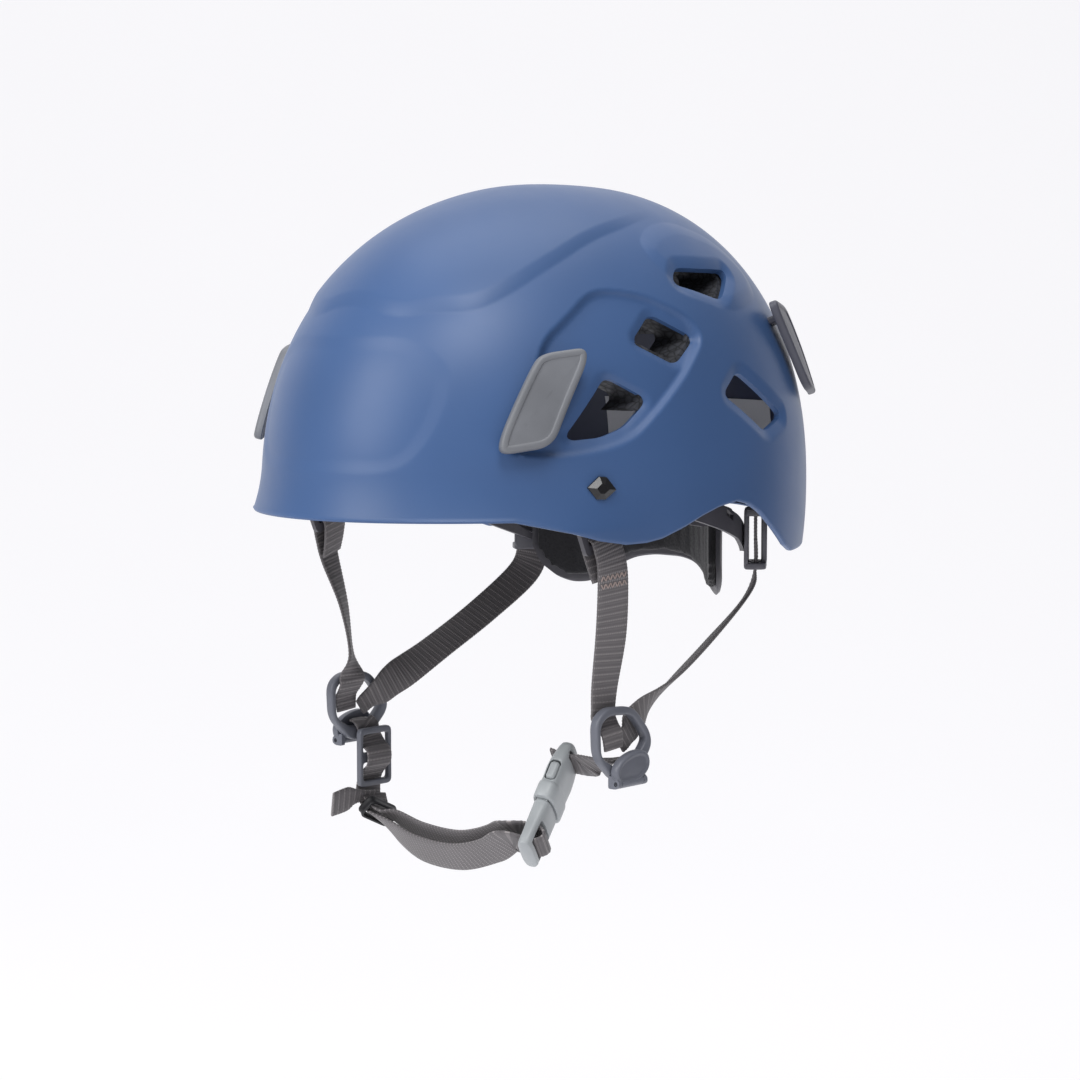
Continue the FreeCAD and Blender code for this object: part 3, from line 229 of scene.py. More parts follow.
def padding_material(name, colour):
    """Brushed knit over thin foam: open mesh of small cells and loose fibres."""
    g = Graph(name)
    place = g.place()
    knit = g.cells(place, 1.5)
    fibre = g.noise(place, 0.5, 5.0, 0.75)
    fine = g.mix(fibre, shade(colour, 0.75), shade(colour, 1.9))
    holes = g.ramp(knit, [(0.05, (0.35, 0.35, 0.35)), (0.35, (1, 1, 1))])
    g.set(Base_Color=g.mix(0.6, fine, holes, "MULTIPLY"))
    g.set(Sheen_Weight=0.35, Sheen_Roughness=0.45)
    g.rough(fibre, 0.85, 1.0)
    g.bump(g.math("SUBTRACT", fibre, knit), 0.5, 0.35)
    return g.material


def webbing_material(name, colour, light):
    """Polyester webbing; its map runs across (u) and along (v) in millimetres."""
    g = Graph(name)
    coordinates = g.node("ShaderNodeTexCoord")
    split = g.node("ShaderNodeSeparateXYZ")
    g.link(coordinates.outputs["UV"], split.inputs[0])
    across, along = split.outputs[0], split.outputs[1]
    # the raised ribs run across, and short pale floats show between them
    rib = g.math("SINE", g.math("MULTIPLY", along, 2 * math.pi / 1.5))
    rib_half = g.math("MULTIPLY_ADD", rib, 0.5)
    rib_half.node.inputs[2].default_value = 0.5
    warp = g.math("SINE", g.math("MULTIPLY", across, 2 * math.pi / 0.9))
    float_row = g.math("SINE", g.math("MULTIPLY", along, 2 * math.pi / 3.0))
    floats = g.math("MULTIPLY", g.math("GREATER_THAN", float_row, 0.72),
                    g.math("GREATER_THAN", warp, 0.25))
    place = g.place()
    fibre = g.noise(place, 0.35, 3.0, 0.7)
    dull = g.mix(rib_half, shade(colour, 0.72), shade(colour, 1.22))
    yarn = g.mix(fibre, dull, shade(colour, 1.5))
    yarn = g.mix(g.math("MULTIPLY", floats, 0.8), yarn, light)
    soil = g.noise(place, 22.0, 3.0)
    g.set(Base_Color=g.mix(g.math("MULTIPLY", soil, 0.25), yarn, shade(colour, 0.8)))
    g.set(Sheen_Weight=0.25, Sheen_Roughness=0.4, Specular_IOR_Level=0.4)
    g.rough(fibre, 0.55, 0.8)
    height = g.math("ADD", g.math("MULTIPLY", warp, 0.4), g.math("MULTIPLY", fibre, 0.8))
    g.bump(height, 0.4, 0.12)
    return g.material


def metal_material(name, colour, roughness):
    g = Graph(name)
    place = g.place(scale=(1000.0, 1000.0, 120.0))
    brushed = g.noise(place, 0.5, 4.0, 0.7)
    g.set(Base_Color=g.mix(brushed, shade(colour, 0.85), shade(colour, 1.1)), Metallic=1.0)
    g.rough(brushed, roughness - 0.08, roughness + 0.12)
    g.bump(brushed, 0.15, 0.02)
    return g.material


def label_material(name, colour):
    """Printed film label, left blank: a faint fibre and cloudy roughness."""
    g = Graph(name)
    place = g.place()
    fibre = g.noise(place, 0.8, 4.0, 0.7)
    cloud = g.noise(place, 9.0, 2.0)
    g.set(Base_Color=g.mix(fibre, shade(colour, 0.9), shade(colour, 1.08)))
    g.rough(cloud, 0.45, 0.65)
    g.bump(fibre, 0.1, 0.03)
    return g.material


SHELL_BLUE = (0.051, 0.113, 0.270)
LOOKS = {
    "shell": shell_material("shell_blue", SHELL_BLUE, 0.24),
    # the shell's inner faces: the same blue plastic painted much darker, as painted shade
    "shell_inside_painted_shade": shell_material("shell_inside_painted_shade", (0.012, 0.018, 0.048), 0.1),
    "foam": foam_material("liner_foam", (0.020, 0.021, 0.025)),
    "padding": padding_material("pad_knit", (0.016, 0.016, 0.019)),
    "label": label_material("blank_label", (0.40, 0.41, 0.45)),
    "rivet": moulded("rivet_black", (0.010, 0.010, 0.012), 0.22, variety=0.3, edge=3.0),
    "steel": metal_material("steel", (0.50, 0.50, 0.52), 0.32),
    "inner_plastic": moulded("inner_plastic", (0.075, 0.073, 0.086), 0.44),
    "guide": moulded("guide_grey", (0.125, 0.125, 0.145), 0.40, edge=1.3),
    "clip": moulded("clip_grey", (0.180, 0.188, 0.208), 0.42, grain=0.4, depth=0.02, edge=1.12),
    # rear clips: the front clips' grey plastic painted darker, as painted shade
    "clip_painted_shade": moulded("clip_rear_painted_shade", (0.082, 0.084, 0.110), 0.40, edge=1.5),
    "webbing": webbing_material("webbing_grey", (0.122, 0.114, 0.119), (0.42, 0.39, 0.39)),
    "divider": moulded("divider_grey", (0.150, 0.158, 0.190), 0.40, edge=1.3),
    "buckle": moulded("buckle_grey", (0.400, 0.425, 0.440), 0.38, depth=0.02, edge=1.12),
    # the buckle's side: the buckle grey painted darker, as painted shade
    "buckle_dark": moulded("buckle_side_painted_shade", (0.200, 0.205, 0.235), 0.42, edge=1.2),
    "keeper": moulded("keeper_rubber", (0.020, 0.020, 0.023), 0.55, grain=0.5, edge=1.6),
    "thread": moulded("stitch_thread", (0.34, 0.27, 0.25), 0.70, grain=0.3, edge=1.2),
}
# every material slot of the record has a look of the same name
for part in frame["record"]["subparts"]:
    mesh = nodes[part["node"]].data
    mesh.materials.clear()
    mesh.materials.append(LOOKS[part["material_slot"]])


# ------------------------------------------------------------------ mesh helpers
def finish_piece(name, mesh, look, body, replaced=(), second=None, angle=38.0):
    """Turn a mesh into a shown piece with its material, shading and body."""
    obj = linked(name, mesh)
    if not mesh.materials:
        mesh.materials.append(LOOKS[look])
        if second:
            mesh.materials.append(LOOKS[second])
    mesh.shade_smooth()
    mesh.set_sharp_from_angle(angle=math.radians(angle))
    if body:
        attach(obj, body)
    if replaced:
        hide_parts(*replaced)
    return obj


def mesh_from(name, points_mm, faces, place=None):
    """Mesh from points in millimetres, optionally through a placement."""
    mesh = bpy.data.meshes.new(name)
    points = [Vector(p) for p in points_mm]
    if place is not None:
        points = [place @ p for p in points]
    mesh.from_pydata([p * MM for p in points], [], faces)
    mesh.update()
    return mesh


def tidy_normals(mesh):
    work = bmesh.new()
    work.from_mesh(mesh)
    bmesh.ops.remove_doubles(work, verts=work.verts, dist=1e-6)
    bmesh.ops.recalc_face_normals(work, faces=work.faces)
    work.to_mesh(mesh)
    work.free()
    return mesh


def frame_at(point, x_axis, z_axis):
    """Placement with local z along z_axis and local x as near x_axis as it can be."""
    z = Vector(z_axis).normalized()
    x = Vector(x_axis)
    x = (x - z * z.dot(x)).normalized()
    y = z.cross(x)
    return Matrix(((x.x, y.x, z.x, point[0]), (x.y, y.y, z.y, point[1]),
                   (x.z, y.z, z.z, point[2]), (0, 0, 0, 1)))


def rounded(points, radius, steps=6):
    """Outline with every corner rounded; radius may be one number or one per corner."""
    count = len(points)
    out = []
    for i, corner in enumerate(points):
        r = radius[i] if isinstance(radius, (list, tuple)) else radius
        here = np.array(corner, float)
        before = np.array(points[i - 1], float) - here
        after = np.array(points[(i + 1) % count], float) - here
        reach_a = min(r, 0.48 * np.linalg.norm(before))
        reach_b = min(r, 0.48 * np.linalg.norm(after))
        start = here + before / np.linalg.norm(before) * reach_a
        end = here + after / np.linalg.norm(after) * reach_b
        for step in range(steps + 1):
            t = step / steps
            out.append(tuple((1 - t) ** 2 * start + 2 * t * (1 - t) * here + t * t * end))
    return out


def signed_area(pts):
    """Area of a closed outline, negative when it runs clockwise."""
    return 0.5 * np.sum(pts[:, 0] * np.roll(pts[:, 1], -1) - np.roll(pts[:, 0], -1) * pts[:, 1])


def outline_normals(points):
    """Outward unit normals of a closed outline."""
    pts = np.array(points, float)
    tangent = np.roll(pts, -1, axis=0) - np.roll(pts, 1, axis=0)
    length = np.maximum(np.linalg.norm(tangent, axis=1, keepdims=True), 1e-9)
    tangent = tangent / length
    normals = np.stack([tangent[:, 1], -tangent[:, 0]], axis=1)
    return normals if signed_area(pts) > 0 else -normals


def run_along(points):
    """Length of the way from the first point to each point."""
    steps = np.linalg.norm(np.diff(points, axis=0), axis=1)
    return np.concatenate([[0.0], np.cumsum(steps)])


def resample(points, spacing):
    """The closed outline again with evenly spaced points."""
    pts = np.array(points, float)
    loop = np.vstack([pts, pts[:1]])
    run = run_along(loop)
    count = max(12, int(round(run[-1] / spacing)))
    at = np.linspace(0.0, run[-1], count, endpoint=False)
    return np.stack([np.interp(at, run, loop[:, k]) for k in (0, 1)], axis=1)


def box_outline(x0, y0, x1, y1):
    return [(x0, y0), (x1, y0), (x1, y1), (x0, y1)]


def circle(count):
    return [(math.cos(t), math.sin(t)) for t in np.linspace(0, 2 * math.pi, count, endpoint=False)]


def bands(levels, count):
    """Quads between consecutive rings of count points."""
    faces = []
    for level in range(levels - 1):
        for i in range(count):
            j = (i + 1) % count
            faces.append((level * count + i, level * count + j,
                          (level + 1) * count + j, (level + 1) * count + i))
    return faces


def capped(levels, count):
    """The same quads with one flat face at either end."""
    first, last = range(count), range((levels - 1) * count, levels * count)
    return bands(levels, count) + [tuple(first)[::-1], tuple(last)]


def prism(profile, x0, x1):
    """Points and faces of a (y, z) profile drawn out along x."""
    return [(x, y, z) for x in (x0, x1) for y, z in profile], capped(2, len(profile))


def ringed(outline, rings, close_top=True, close_bottom=True):
    """Points and faces of a form made of one outline at several (inset, height) rings."""
    pts = np.array(outline, float)
    normals = outline_normals(pts)
    count = len(pts)
    centre = pts.mean(axis=0)
    points = []
    for inset, height in rings:
        ring = pts - normals * inset
        points.extend((x, y, height) for x, y in ring)
    faces = bands(len(rings), count)
    last = (len(rings) - 1) * count
    if close_top:
        points.append((centre[0], centre[1], rings[-1][1]))
        tip = len(points) - 1
        faces.extend((last + i, last + (i + 1) % count, tip) for i in range(count))
    if close_bottom:
        points.append((centre[0], centre[1], rings[0][1]))
        tip = len(points) - 1
        faces.extend(((i + 1) % count, i, tip) for i in range(count))
    return points, faces


def dished(outline, rings, crown):
    """Like ringed, but both faces are closed by rings that shrink to the middle."""
    points, faces = ringed(outline, rings, False, False)
    pts = np.array(outline, float)
    normals = outline_normals(pts)
    count = len(pts)
    centre = pts.mean(axis=0)
    for level, height, flip in ((len(rings) - 1, crown, False), (0, rings[0][1], True)):
        edge = pts - normals * rings[level][0]
        previous = [level * count + i for i in range(count)]
        for share in (0.8, 0.6, 0.4, 0.2):
            start = len(points)
            rise = rings[level][1] + (height - rings[level][1]) * (1.0 - share ** 2)
            ring = centre + (edge - centre) * share
            points.extend((x, y, rise) for x, y in ring)
            here = list(range(start, start + count))
            for i in range(count):
                j = (i + 1) % count
                face = (previous[i], previous[j], here[j], here[i])
                faces.append(face[::-1] if flip else face)
            previous = here
        points.append((centre[0], centre[1], height))
        tip = len(points) - 1
        for i in range(count):
            face = (previous[i], previous[(i + 1) % count], tip)
            faces.append(face[::-1] if flip else face)
    return points, faces


def join(parts):
    """Several (points, faces) sets as one."""
    points, faces = [], []
    for some_points, some_faces in parts:
        start = len(points)
        points.extend(some_points)
        faces.extend(tuple(start + i for i in face) for face in some_faces)
    return points, faces


def rounded_plate(name, outlines, thickness, bevel, place):
    """Plate with holes and rounded edges; the first outline is the outside."""
    curve = bpy.data.curves.new(name, "CURVE")
    curve.dimensions = "2D"
    curve.fill_mode = "BOTH"
    curve.extrude = (thickness / 2 - bevel) * MM
    curve.bevel_depth = bevel * MM
    curve.bevel_resolution = 3
    curve.offset = -bevel * MM
    for index, outline in enumerate(outlines):
        pts = np.array(outline, float)
        if (signed_area(pts) < 0) == (index == 0):
            pts = pts[::-1]
        spline = curve.splines.new("POLY")
        spline.points.add(len(pts) - 1)
        for point, (x, y) in zip(spline.points, pts):
            point.co = (x * MM, y * MM, 0.0, 1.0)
        spline.use_cyclic_u = True
    holder = linked(name + "_curve", curve)
    mesh = final_mesh(holder)
    bpy.data.objects.remove(holder)
    bpy.data.curves.remove(curve)
    in_metres = place.copy()
    in_metres.translation *= MM
    mesh.transform(in_metres)
    mesh.name = name
    mesh.materials.clear()
    return tidy_normals(mesh)


def cut_with(mesh, cutters):
    """Boolean difference of a mesh with several cutter meshes."""
    target = linked("cut_target", mesh)
    helpers = []
    for index, cutter in enumerate(cutters):
        tool = linked("cut_tool_%d" % index, cutter)
        modifier = target.modifiers.new("cut_%d" % index, "BOOLEAN")
        modifier.operation = "DIFFERENCE"
        modifier.solver = "EXACT"
        modifier.object = tool
        helpers.append(tool)
    result = final_mesh(target)
    for helper in helpers + [target]:
        bpy.data.objects.remove(helper)
    result.materials.clear()
    return result


def bevelled(mesh, width, segments=2, angle=40.0):
    """The mesh again with its sharp edges rounded."""
    holder = linked("bevel_holder", mesh)
    modifier = holder.modifiers.new("round", "BEVEL")
    modifier.width = width * MM
    modifier.segments = segments
    modifier.limit_method = "ANGLE"
    modifier.angle_limit = math.radians(angle)
    result = final_mesh(holder)
    bpy.data.objects.remove(holder)
    return result


def block(x0, y0, z0, x1, y1, z1, radius=0.0):
    """Points and faces of a box whose edges along z are rounded."""
    corners = box_outline(x0, y0, x1, y1)
    outline = rounded(corners, radius, 4) if radius else corners
    return ringed(outline, [(0.0, z0), (0.0, z1)])


def oriented(points, faces, place):
    """Mesh with outward normals from points and faces through a placement."""
    return tidy_normals(mesh_from("piece", points, faces, place))


# ------------------------------------------------------------------ the shell's surface
HALF_WIDTH, FRONT, REAR = 104.0, 155.0, 121.0
STATION, TOP, LEVEL, POWER = 14.0, 140.0, 7.0, 2.2
WALL = 3.0
VENTS = {
    "square": [(-22, 84), (-3, 74.5), (-16, 65), (-34, 74)],
    "lower": [(-53, 58), (-37, 49), (-49, 39), (-60, 35), (-74, 34)],
    "upper": [(3, 102.5), (38, 101.5), (23, 91), (-1, 98)],
    "rear": [(20, 58), (52, 39), (36, 34), (10, 50)],
}
VENT_LIP = {"square": (4.5, 2.4), "lower": (4.5, 2.6), "upper": (5.5, 2.6), "rear": (6.0, 2.8)}
LEAF = [(-99, 28), (-76, 74), (-50, 93), (-40, 95), (-22, 92), (-3, 83), (2, 74), (-13, 59),
        (-30, 45), (-45, 33), (-59, 28.5), (-78, 26)]
FRONT_PANEL = [(-35, 75), (35, 75), (50, 64), (53, 52), (50, 34), (40, 20), (-40, 20),
               (-50, 34), (-53, 52), (-50, 64)]
ROOF_FRONT = [(-24, -115), (24, -115), (50, -95), (57, -77), (60, -52), (58, -10), (50, 30),
              (-50, 30), (-58, -10), (-60, -52), (-57, -77), (-50, -95)]
REAR_PANEL = [(-12, 112), (2, 121), (22, 124), (48, 116), (62, 102), (58, 90), (30, 84), (2, 92)]


# height of the rim over the length, as (y, z)
RIM_HEIGHTS = [(-200, 0), (-95, 0), (-74, -5), (-62, -8.8), (-50, -11), (-40, -10.8), (-32, -9.5),
               (-20, -5.2), (-10, -1), (0, 2.2), (12, 4), (20, 2.2), (28, -1.5), (37, -7.2),
               (46, -13), (55, -18.6), (64, -22), (90, -22), (200, -22)]
VENT_CORNER = 3.0
LEAF_DEPTH, PANEL_DEPTH, ROOF_RISE, REAR_RISE = 2.4, 0.6, 1.3, 1.0
SIDE_REACH = 40.0  # the sides of the shell begin this far from its middle


def plan_fraction(height):
    """Share of the plan's full size at a height."""
    part = np.abs(height - LEVEL) / (TOP - LEVEL)
    return np.clip(1.0 - part ** POWER, 0.0, None) ** (1.0 / POWER)


def plan_length(y):
    return np.where(y > STATION, REAR, FRONT)


def rim_height(x, y):
    """Height of the shell's edge at a point of its plan."""
    side = np.interp(y, *zip(*RIM_HEIGHTS))
    arch = -38.0 + 28.0 * np.sqrt(np.clip(1.0 - (x / 68.0) ** 2, 0.0, None))
    return np.where(y > 70.0, np.maximum(side, arch), side)


def nearest_on(px, py, outline):
    """Nearest points of a closed outline and the distance to it, negative inside."""
    a = np.array(outline, float)
    b = np.roll(a, -1, axis=0)
    best = np.full(px.shape, 1e9)
    inside = np.zeros(px.shape, bool)
    nx, ny = px.copy(), py.copy()
    for (ax, ay), (bx, by) in zip(a, b):
        ex, ey = bx - ax, by - ay
        t = np.clip(((px - ax) * ex + (py - ay) * ey) / (ex * ex + ey * ey + 1e-12), 0, 1)
        d = (px - ax - t * ex) ** 2 + (py - ay - t * ey) ** 2
        closer = d < best
        best = np.where(closer, d, best)
        nx = np.where(closer, ax + t * ex, nx)
        ny = np.where(closer, ay + t * ey, ny)
        crosses = (ay > py) != (by > py)
        slope = ex / (ey if ey else 1e-12)
        inside ^= crosses & (px < ax + slope * (py - ay))
    return nx, ny, np.where(inside, -np.sqrt(best), np.sqrt(best))


def signed_distance(px, py, outline):
    return nearest_on(px, py, outline)[2]


def smooth_step(value, low, high):
    t = np.clip((value - low) / (high - low), 0.0, 1.0)
    return t * t * (3.0 - 2.0 * t)


def eased(value, width):
    """A linear ramp from 1 at zero to 0 at the width, eased at its far end."""
    t = np.clip(value / width, 0.0, 1.0)
    return (1.0 - t) * (1.0 - 0.35 * t)


def relief(x, y, z):
    """How far the moulded surface stands out from the plain dome, in millimetres."""
    ax = np.abs(x)
    out = np.zeros(x.shape)
    side = (ax > SIDE_REACH).astype(float)
    leaf = signed_distance(y, z, rounded(LEAF, 7.0))
    out -= LEAF_DEPTH * (1.0 - eased(-leaf, 2.2)) * (leaf < 0) * side
    panel = signed_distance(x, z, rounded(FRONT_PANEL, 12.0))
    front = smooth_step(-y, 20.0, 50.0)
    out -= PANEL_DEPTH * (1.0 - eased(-panel, 5.0)) * (panel < 0) * front
    roof = signed_distance(x, y, rounded(ROOF_FRONT, 10.0))
    fade = smooth_step(-y, -25.0, 25.0)
    above = smooth_step(z, 60.0, 80.0)
    out += ROOF_RISE * (1.0 - eased(-roof, 4.5)) * (roof < 0) * fade * above
    rear = signed_distance(y, z, rounded(REAR_PANEL, 9.0))
    out += REAR_RISE * (1.0 - eased(-rear, 6.0)) * (rear < 0) * (ax > 12.0)
    for name, points in VENTS.items():
        width, depth = VENT_LIP[name]
        gap = signed_distance(y, z, rounded(points, VENT_CORNER))
        out -= depth * eased(np.maximum(gap, 0.0), width) * side
    return out


def flare(y, z):
    """Outward sweep of the front brim."""
    low = np.clip((20.0 - z) / 20.0, 0.0, 1.2)
    return 4.0 * low ** 2 * smooth_step(-y, 30.0, 90.0)


def dome_x(y, z):
    length = plan_length(y)
    return HALF_WIDTH * np.sqrt(np.clip(plan_fraction(z) ** 2 - ((y - STATION) / length) ** 2,
                                        0.0, None))


def dome_normal(x, y, z):
    length = plan_length(y)
    radius = np.maximum(plan_fraction(z), 1e-3)
    rise = (z - LEVEL) / (TOP - LEVEL)
    lift = radius ** (2.0 - POWER) * np.abs(rise) ** (POWER - 1.0) / (TOP - LEVEL)
    n = np.stack([x / HALF_WIDTH ** 2, (y - STATION) / length ** 2, np.sign(rise) * lift], axis=-1)
    n[..., 2] = np.where(radius < 0.02, 1.0, n[..., 2])
    return n / np.linalg.norm(n, axis=-1, keepdims=True)


def of_corners(v):
    """Mean of each face's four corners on the shell's grid."""
    turned = np.roll(v, -1, 1)
    return 0.25 * (v[:-1] + v[1:] + turned[:-1] + turned[1:])


def of_neighbours(v):
    """Mean of each point's four neighbours on the shell's grid."""
    return 0.25 * (np.roll(v, 1, 0) + np.roll(v, -1, 0) + np.roll(v, 1, 1) + np.roll(v, -1, 1))


def build_shell():
    around = 720
    up = 200
    phi = np.linspace(0.0, 2 * math.pi, around, endpoint=False)
    length = np.where(np.cos(phi) > 0, FRONT, REAR)
    unit_x = np.sin(phi)
    unit_y = -np.cos(phi)
    rim = np.zeros(around)
    for _ in range(4):
        r = plan_fraction(rim)
        rim = rim_height(HALF_WIDTH * r * unit_x, STATION + length * r * unit_y)
    below = (LEVEL - rim) / (TOP - LEVEL)
    start = -np.arcsin(np.clip(below, -1, 1) ** (POWER / 2.0))
    steps = np.linspace(0.0, 1.0, up + 1)[:-1]
    psi = start[None, :] + (math.pi / 2 - start[None, :]) * steps[:, None]
    r = np.cos(psi) ** (2.0 / POWER)
    z = LEVEL + (TOP - LEVEL) * np.sign(psi) * np.abs(np.sin(psi)) ** (2.0 / POWER)
    x = HALF_WIDTH * r * unit_x[None, :]
    y = STATION + length[None, :] * r * unit_y[None, :]

    # open the vents: drop the faces inside each outline, then pull the cut edge onto it
    keep = np.ones((up - 1, around), bool)
    fixed = np.zeros((up, around), bool)
    sign = np.where(x >= 0, 1.0, -1.0)
    near_vent = np.zeros((up, around), bool)
    for points in VENTS.values():
        outline = resample(rounded(points, VENT_CORNER), 0.8)
        outline = outline + outline_normals(outline) * 1.2 + np.array([0.8, 0.2])
        hole = signed_distance(of_corners(y), of_corners(z), outline) < 0
        hole &= np.abs(x[:-1]) > SIDE_REACH
        keep &= ~hole
        touch_hole = np.zeros((up, around), bool)
        touch_kept = np.zeros((up, around), bool)
        for di in (0, 1):
            for dj in (0, 1):
                rows = slice(di, di + up - 1)
                touch_hole[rows] |= np.roll(hole, dj, 1)
                touch_kept[rows] |= np.roll(~hole, dj, 1)
        border = touch_hole & touch_kept
        ny, nz, _ = nearest_on(y, z, outline)
        y = np.where(border, ny, y)
        z = np.where(border, nz, z)
        fixed |= border
        near_vent |= (np.abs(signed_distance(y, z, outline)) < 4.0) & (np.abs(x) > SIDE_REACH)
    free = near_vent & ~fixed
    free[0] = free[-1] = False
    for _ in range(12):
        y = np.where(free, 0.5 * y + 0.5 * of_neighbours(y), y)
        z = np.where(free, 0.5 * z + 0.5 * of_neighbours(z), z)
    x = np.where(near_vent | fixed, sign * dome_x(y, z), x)

    # outer and inner faces of the moulding
    normal = dome_normal(x, y, z)
    stand = relief(x, y, z)
    base = np.stack([x, y, z], axis=-1)
    outward = np.stack([unit_x * 0.7, unit_y, np.zeros(around)], axis=-1)
    outward /= np.linalg.norm(outward, axis=-1, keepdims=True)
    swept = base + normal * stand[..., None] + outward[None] * flare(y, z)[..., None]
    wall = np.where(stand < -0.3, np.maximum(WALL + stand * 0.30, 2.0), WALL)
    inner = swept - normal * wall[..., None]

    # a rolled edge along the rim
    raised, eased_up = np.array([0, 0, 0.9]), np.array([0, 0, 0.15])
    lip = [swept[0] + raised, swept[0] - normal[0] * 0.45 + eased_up, swept[0] - normal[0] * 1.5,
           swept[0] - normal[0] * 2.55 + eased_up, inner[0] + raised]
    outer_rows = swept.copy()
    outer_rows[0] = lip[0]
    inner_rows = inner.copy()
    inner_rows[0] = lip[4]
    pole_out = swept[-1].mean(axis=0, keepdims=True) + np.array([[0, 0, 0.01]])
    pole_in = inner[-1].mean(axis=0, keepdims=True) + np.array([[0, 0, 0.01]])
    flat = np.concatenate([outer_rows.reshape(-1, 3), inner_rows.reshape(-1, 3),
                           np.stack(lip[1:4]).reshape(-1, 3), pole_out, pole_in])
    size = up * around
    faces = []
    looks = []

    def index(layer, i, j):
        return layer * size + i * around + j % around

    for i in range(up - 1):
        for j in range(around):
            if not keep[i, j]:
                continue
            a, b, c, d = (index(0, i, j), index(0, i, j + 1), index(0, i + 1, j + 1),
                          index(0, i + 1, j))
            faces.append((a, b, c, d))
            faces.append((d + size, c + size, b + size, a + size))
            looks.extend((0, 1))
            # walls of the vents
            for di, dj, first, last in ((-1, 0, a, b), (1, 0, c, d), (0, -1, d, a), (0, 1, b, c)):
                row, column = i + di, (j + dj) % around
                if 0 <= row < up - 1 and not keep[row, column]:
                    faces.append((last, first, first + size, last + size))
                    looks.append(0)
    last_row = (up - 1) * around
    for j in range(around):
        k = (j + 1) % around
        faces.append((last_row + j, last_row + k, len(flat) - 2))
        faces.append((size + last_row + k, size + last_row + j, len(flat) - 1))
        looks.extend((0, 1))
        # from the outer face over the three rows of the rolled edge to the inner face
        edge = [0, 2 * size, 2 * size + around, 2 * size + 2 * around, size]
        for here, after in zip(edge, edge[1:]):
            faces.append((here + k, here + j, after + j, after + k))
            looks.append(0)
    mesh = bpy.data.meshes.new("shell_moulding")
    mesh.from_pydata((flat * MM).tolist(), [], faces)
    mesh.update()
    mesh.materials.append(LOOKS["shell"])
    # the inner faces get the darker blue: painted shade
    mesh.materials.append(LOOKS["shell_inside_painted_shade"])
    mesh.polygons.foreach_set("material_index", np.array(looks, dtype=np.int32))
    finish_piece("shell_moulding", mesh, None, "helmet", ("shell",), angle=50.0)


build_shell()


def wall_point(side, y, z):
    y_, z_ = np.array([float(y)]), np.array([float(z)])
    x = side * dome_x(y_, z_)
    n = dome_normal(x, y_, z_)[0]
    return Vector((float(x[0]), y, z)), Vector([float(c) for c in n])


# ------------------------------------------------------------------ headlamp clips
CLIP_SITES = {
    "front_clip_left": (1, (-81.0, 49.0), -1),
    "front_clip_right": (-1, (-81.0, 49.0), -1),
    "rear_clip_left": (1, (73.0, 67.0), 1),
    "rear_clip_right": (-1, (73.0, 67.0), 1),
}
CLIP_OUTLINE = [(-19.5, 19.0), (0.0, 19.0), (4.5, 14.5), (14.5, 1.0), (24.0, -13.5),
                (24.5, -19.5), (2.5, -19.5), (-8.0, -3.0), (-19.5, 13.5)]
CLIP_CORNERS = [4.0, 7.0, 7.0, 12.0, 9.0, 6.0, 7.0, 14.0, 6.0]
# (inset, height) from the plate's back edge over its rim to its sunk middle
CLIP_RINGS = [(2.0, 2.75), (0.5, 2.7), (0.1, 3.0), (0.0, 3.6), (0.0, 5.2), (0.25, 5.9), (0.8, 6.35),
              (1.5, 6.5), (2.6, 6.5), (2.9, 6.35), (3.1, 6.1), (3.4, 6.05), (4.4, 6.12)]
CLIP_NECK = (-7.0, 12.5)
NECK_HALF_LONG, NECK_HALF_THICK, BARB_REACH = 4.5, 1.5, 3.7
BEND = 0.004  # mm of drop per square mm, so the plate follows the shell's curve
for site, (side, (y, z), lean) in CLIP_SITES.items():
    point, normal = wall_point(side, y, z)
    place = frame_at(point, (0, lean, 0), normal)
    flip = 1 if (place.to_3x3() @ Vector((0, 1, 0))).z > 0 else -1
    outline = resample(rounded(CLIP_OUTLINE, CLIP_CORNERS), 1.0)
    outline[:, 1] *= flip
    plate = dished(outline, CLIP_RINGS, 6.3)
    plate = ([(x, y, z - BEND * max(x - 2.0, 0.0) ** 2) for x, y, z in plate[0]], plate[1])
    nx, ny = CLIP_NECK
    ny *= flip
    low, high = nx - NECK_HALF_LONG, nx + NECK_HALF_LONG
    neck = block(low, ny - NECK_HALF_THICK, -5.4, high, ny + NECK_HALF_THICK, 3.0, 1.0)
    reach = sorted((ny - NECK_HALF_THICK * flip, ny + BARB_REACH * flip))
    barb = block(low, reach[0], -7.4, high, reach[1], -5.2, 0.8)
    points, faces = join([plate, neck, barb])
    mesh = oriented(points, faces, place)
    # the rear clips take the darker grey: painted shade
    look = "clip" if site.startswith("front") else "clip_painted_shade"
    finish_piece(site + "_plate", mesh, look, site, (site,), angle=32.0)


# ------------------------------------------------------------------ webbing
WIDE = 15.0
NARROW = 11.0
THICK = 1.5
RIB = 1.5  # one raised rib and its gap along the webbing
SELVEDGE_WAVE = 0.06
BUCKLE_LONG = Vector((-0.128, 0.660, 0.740)).normalized()
BUCKLE_OUT = Vector((0.924, 0.348, -0.151)).normalized()
BUCKLE = frame_at((54.7, -54.0, -123.0), BUCKLE_LONG, BUCKLE_OUT)
UP_FORWARD = tuple(BUCKLE.to_3x3() @ Vector((0, 1, 0)))
DOWN_BACK = tuple(-c for c in UP_FORWARD)
ACROSS = (0, -1, 0)


def buckle_point(x, y, z):
    return tuple(BUCKLE @ Vector((x, y, z)))


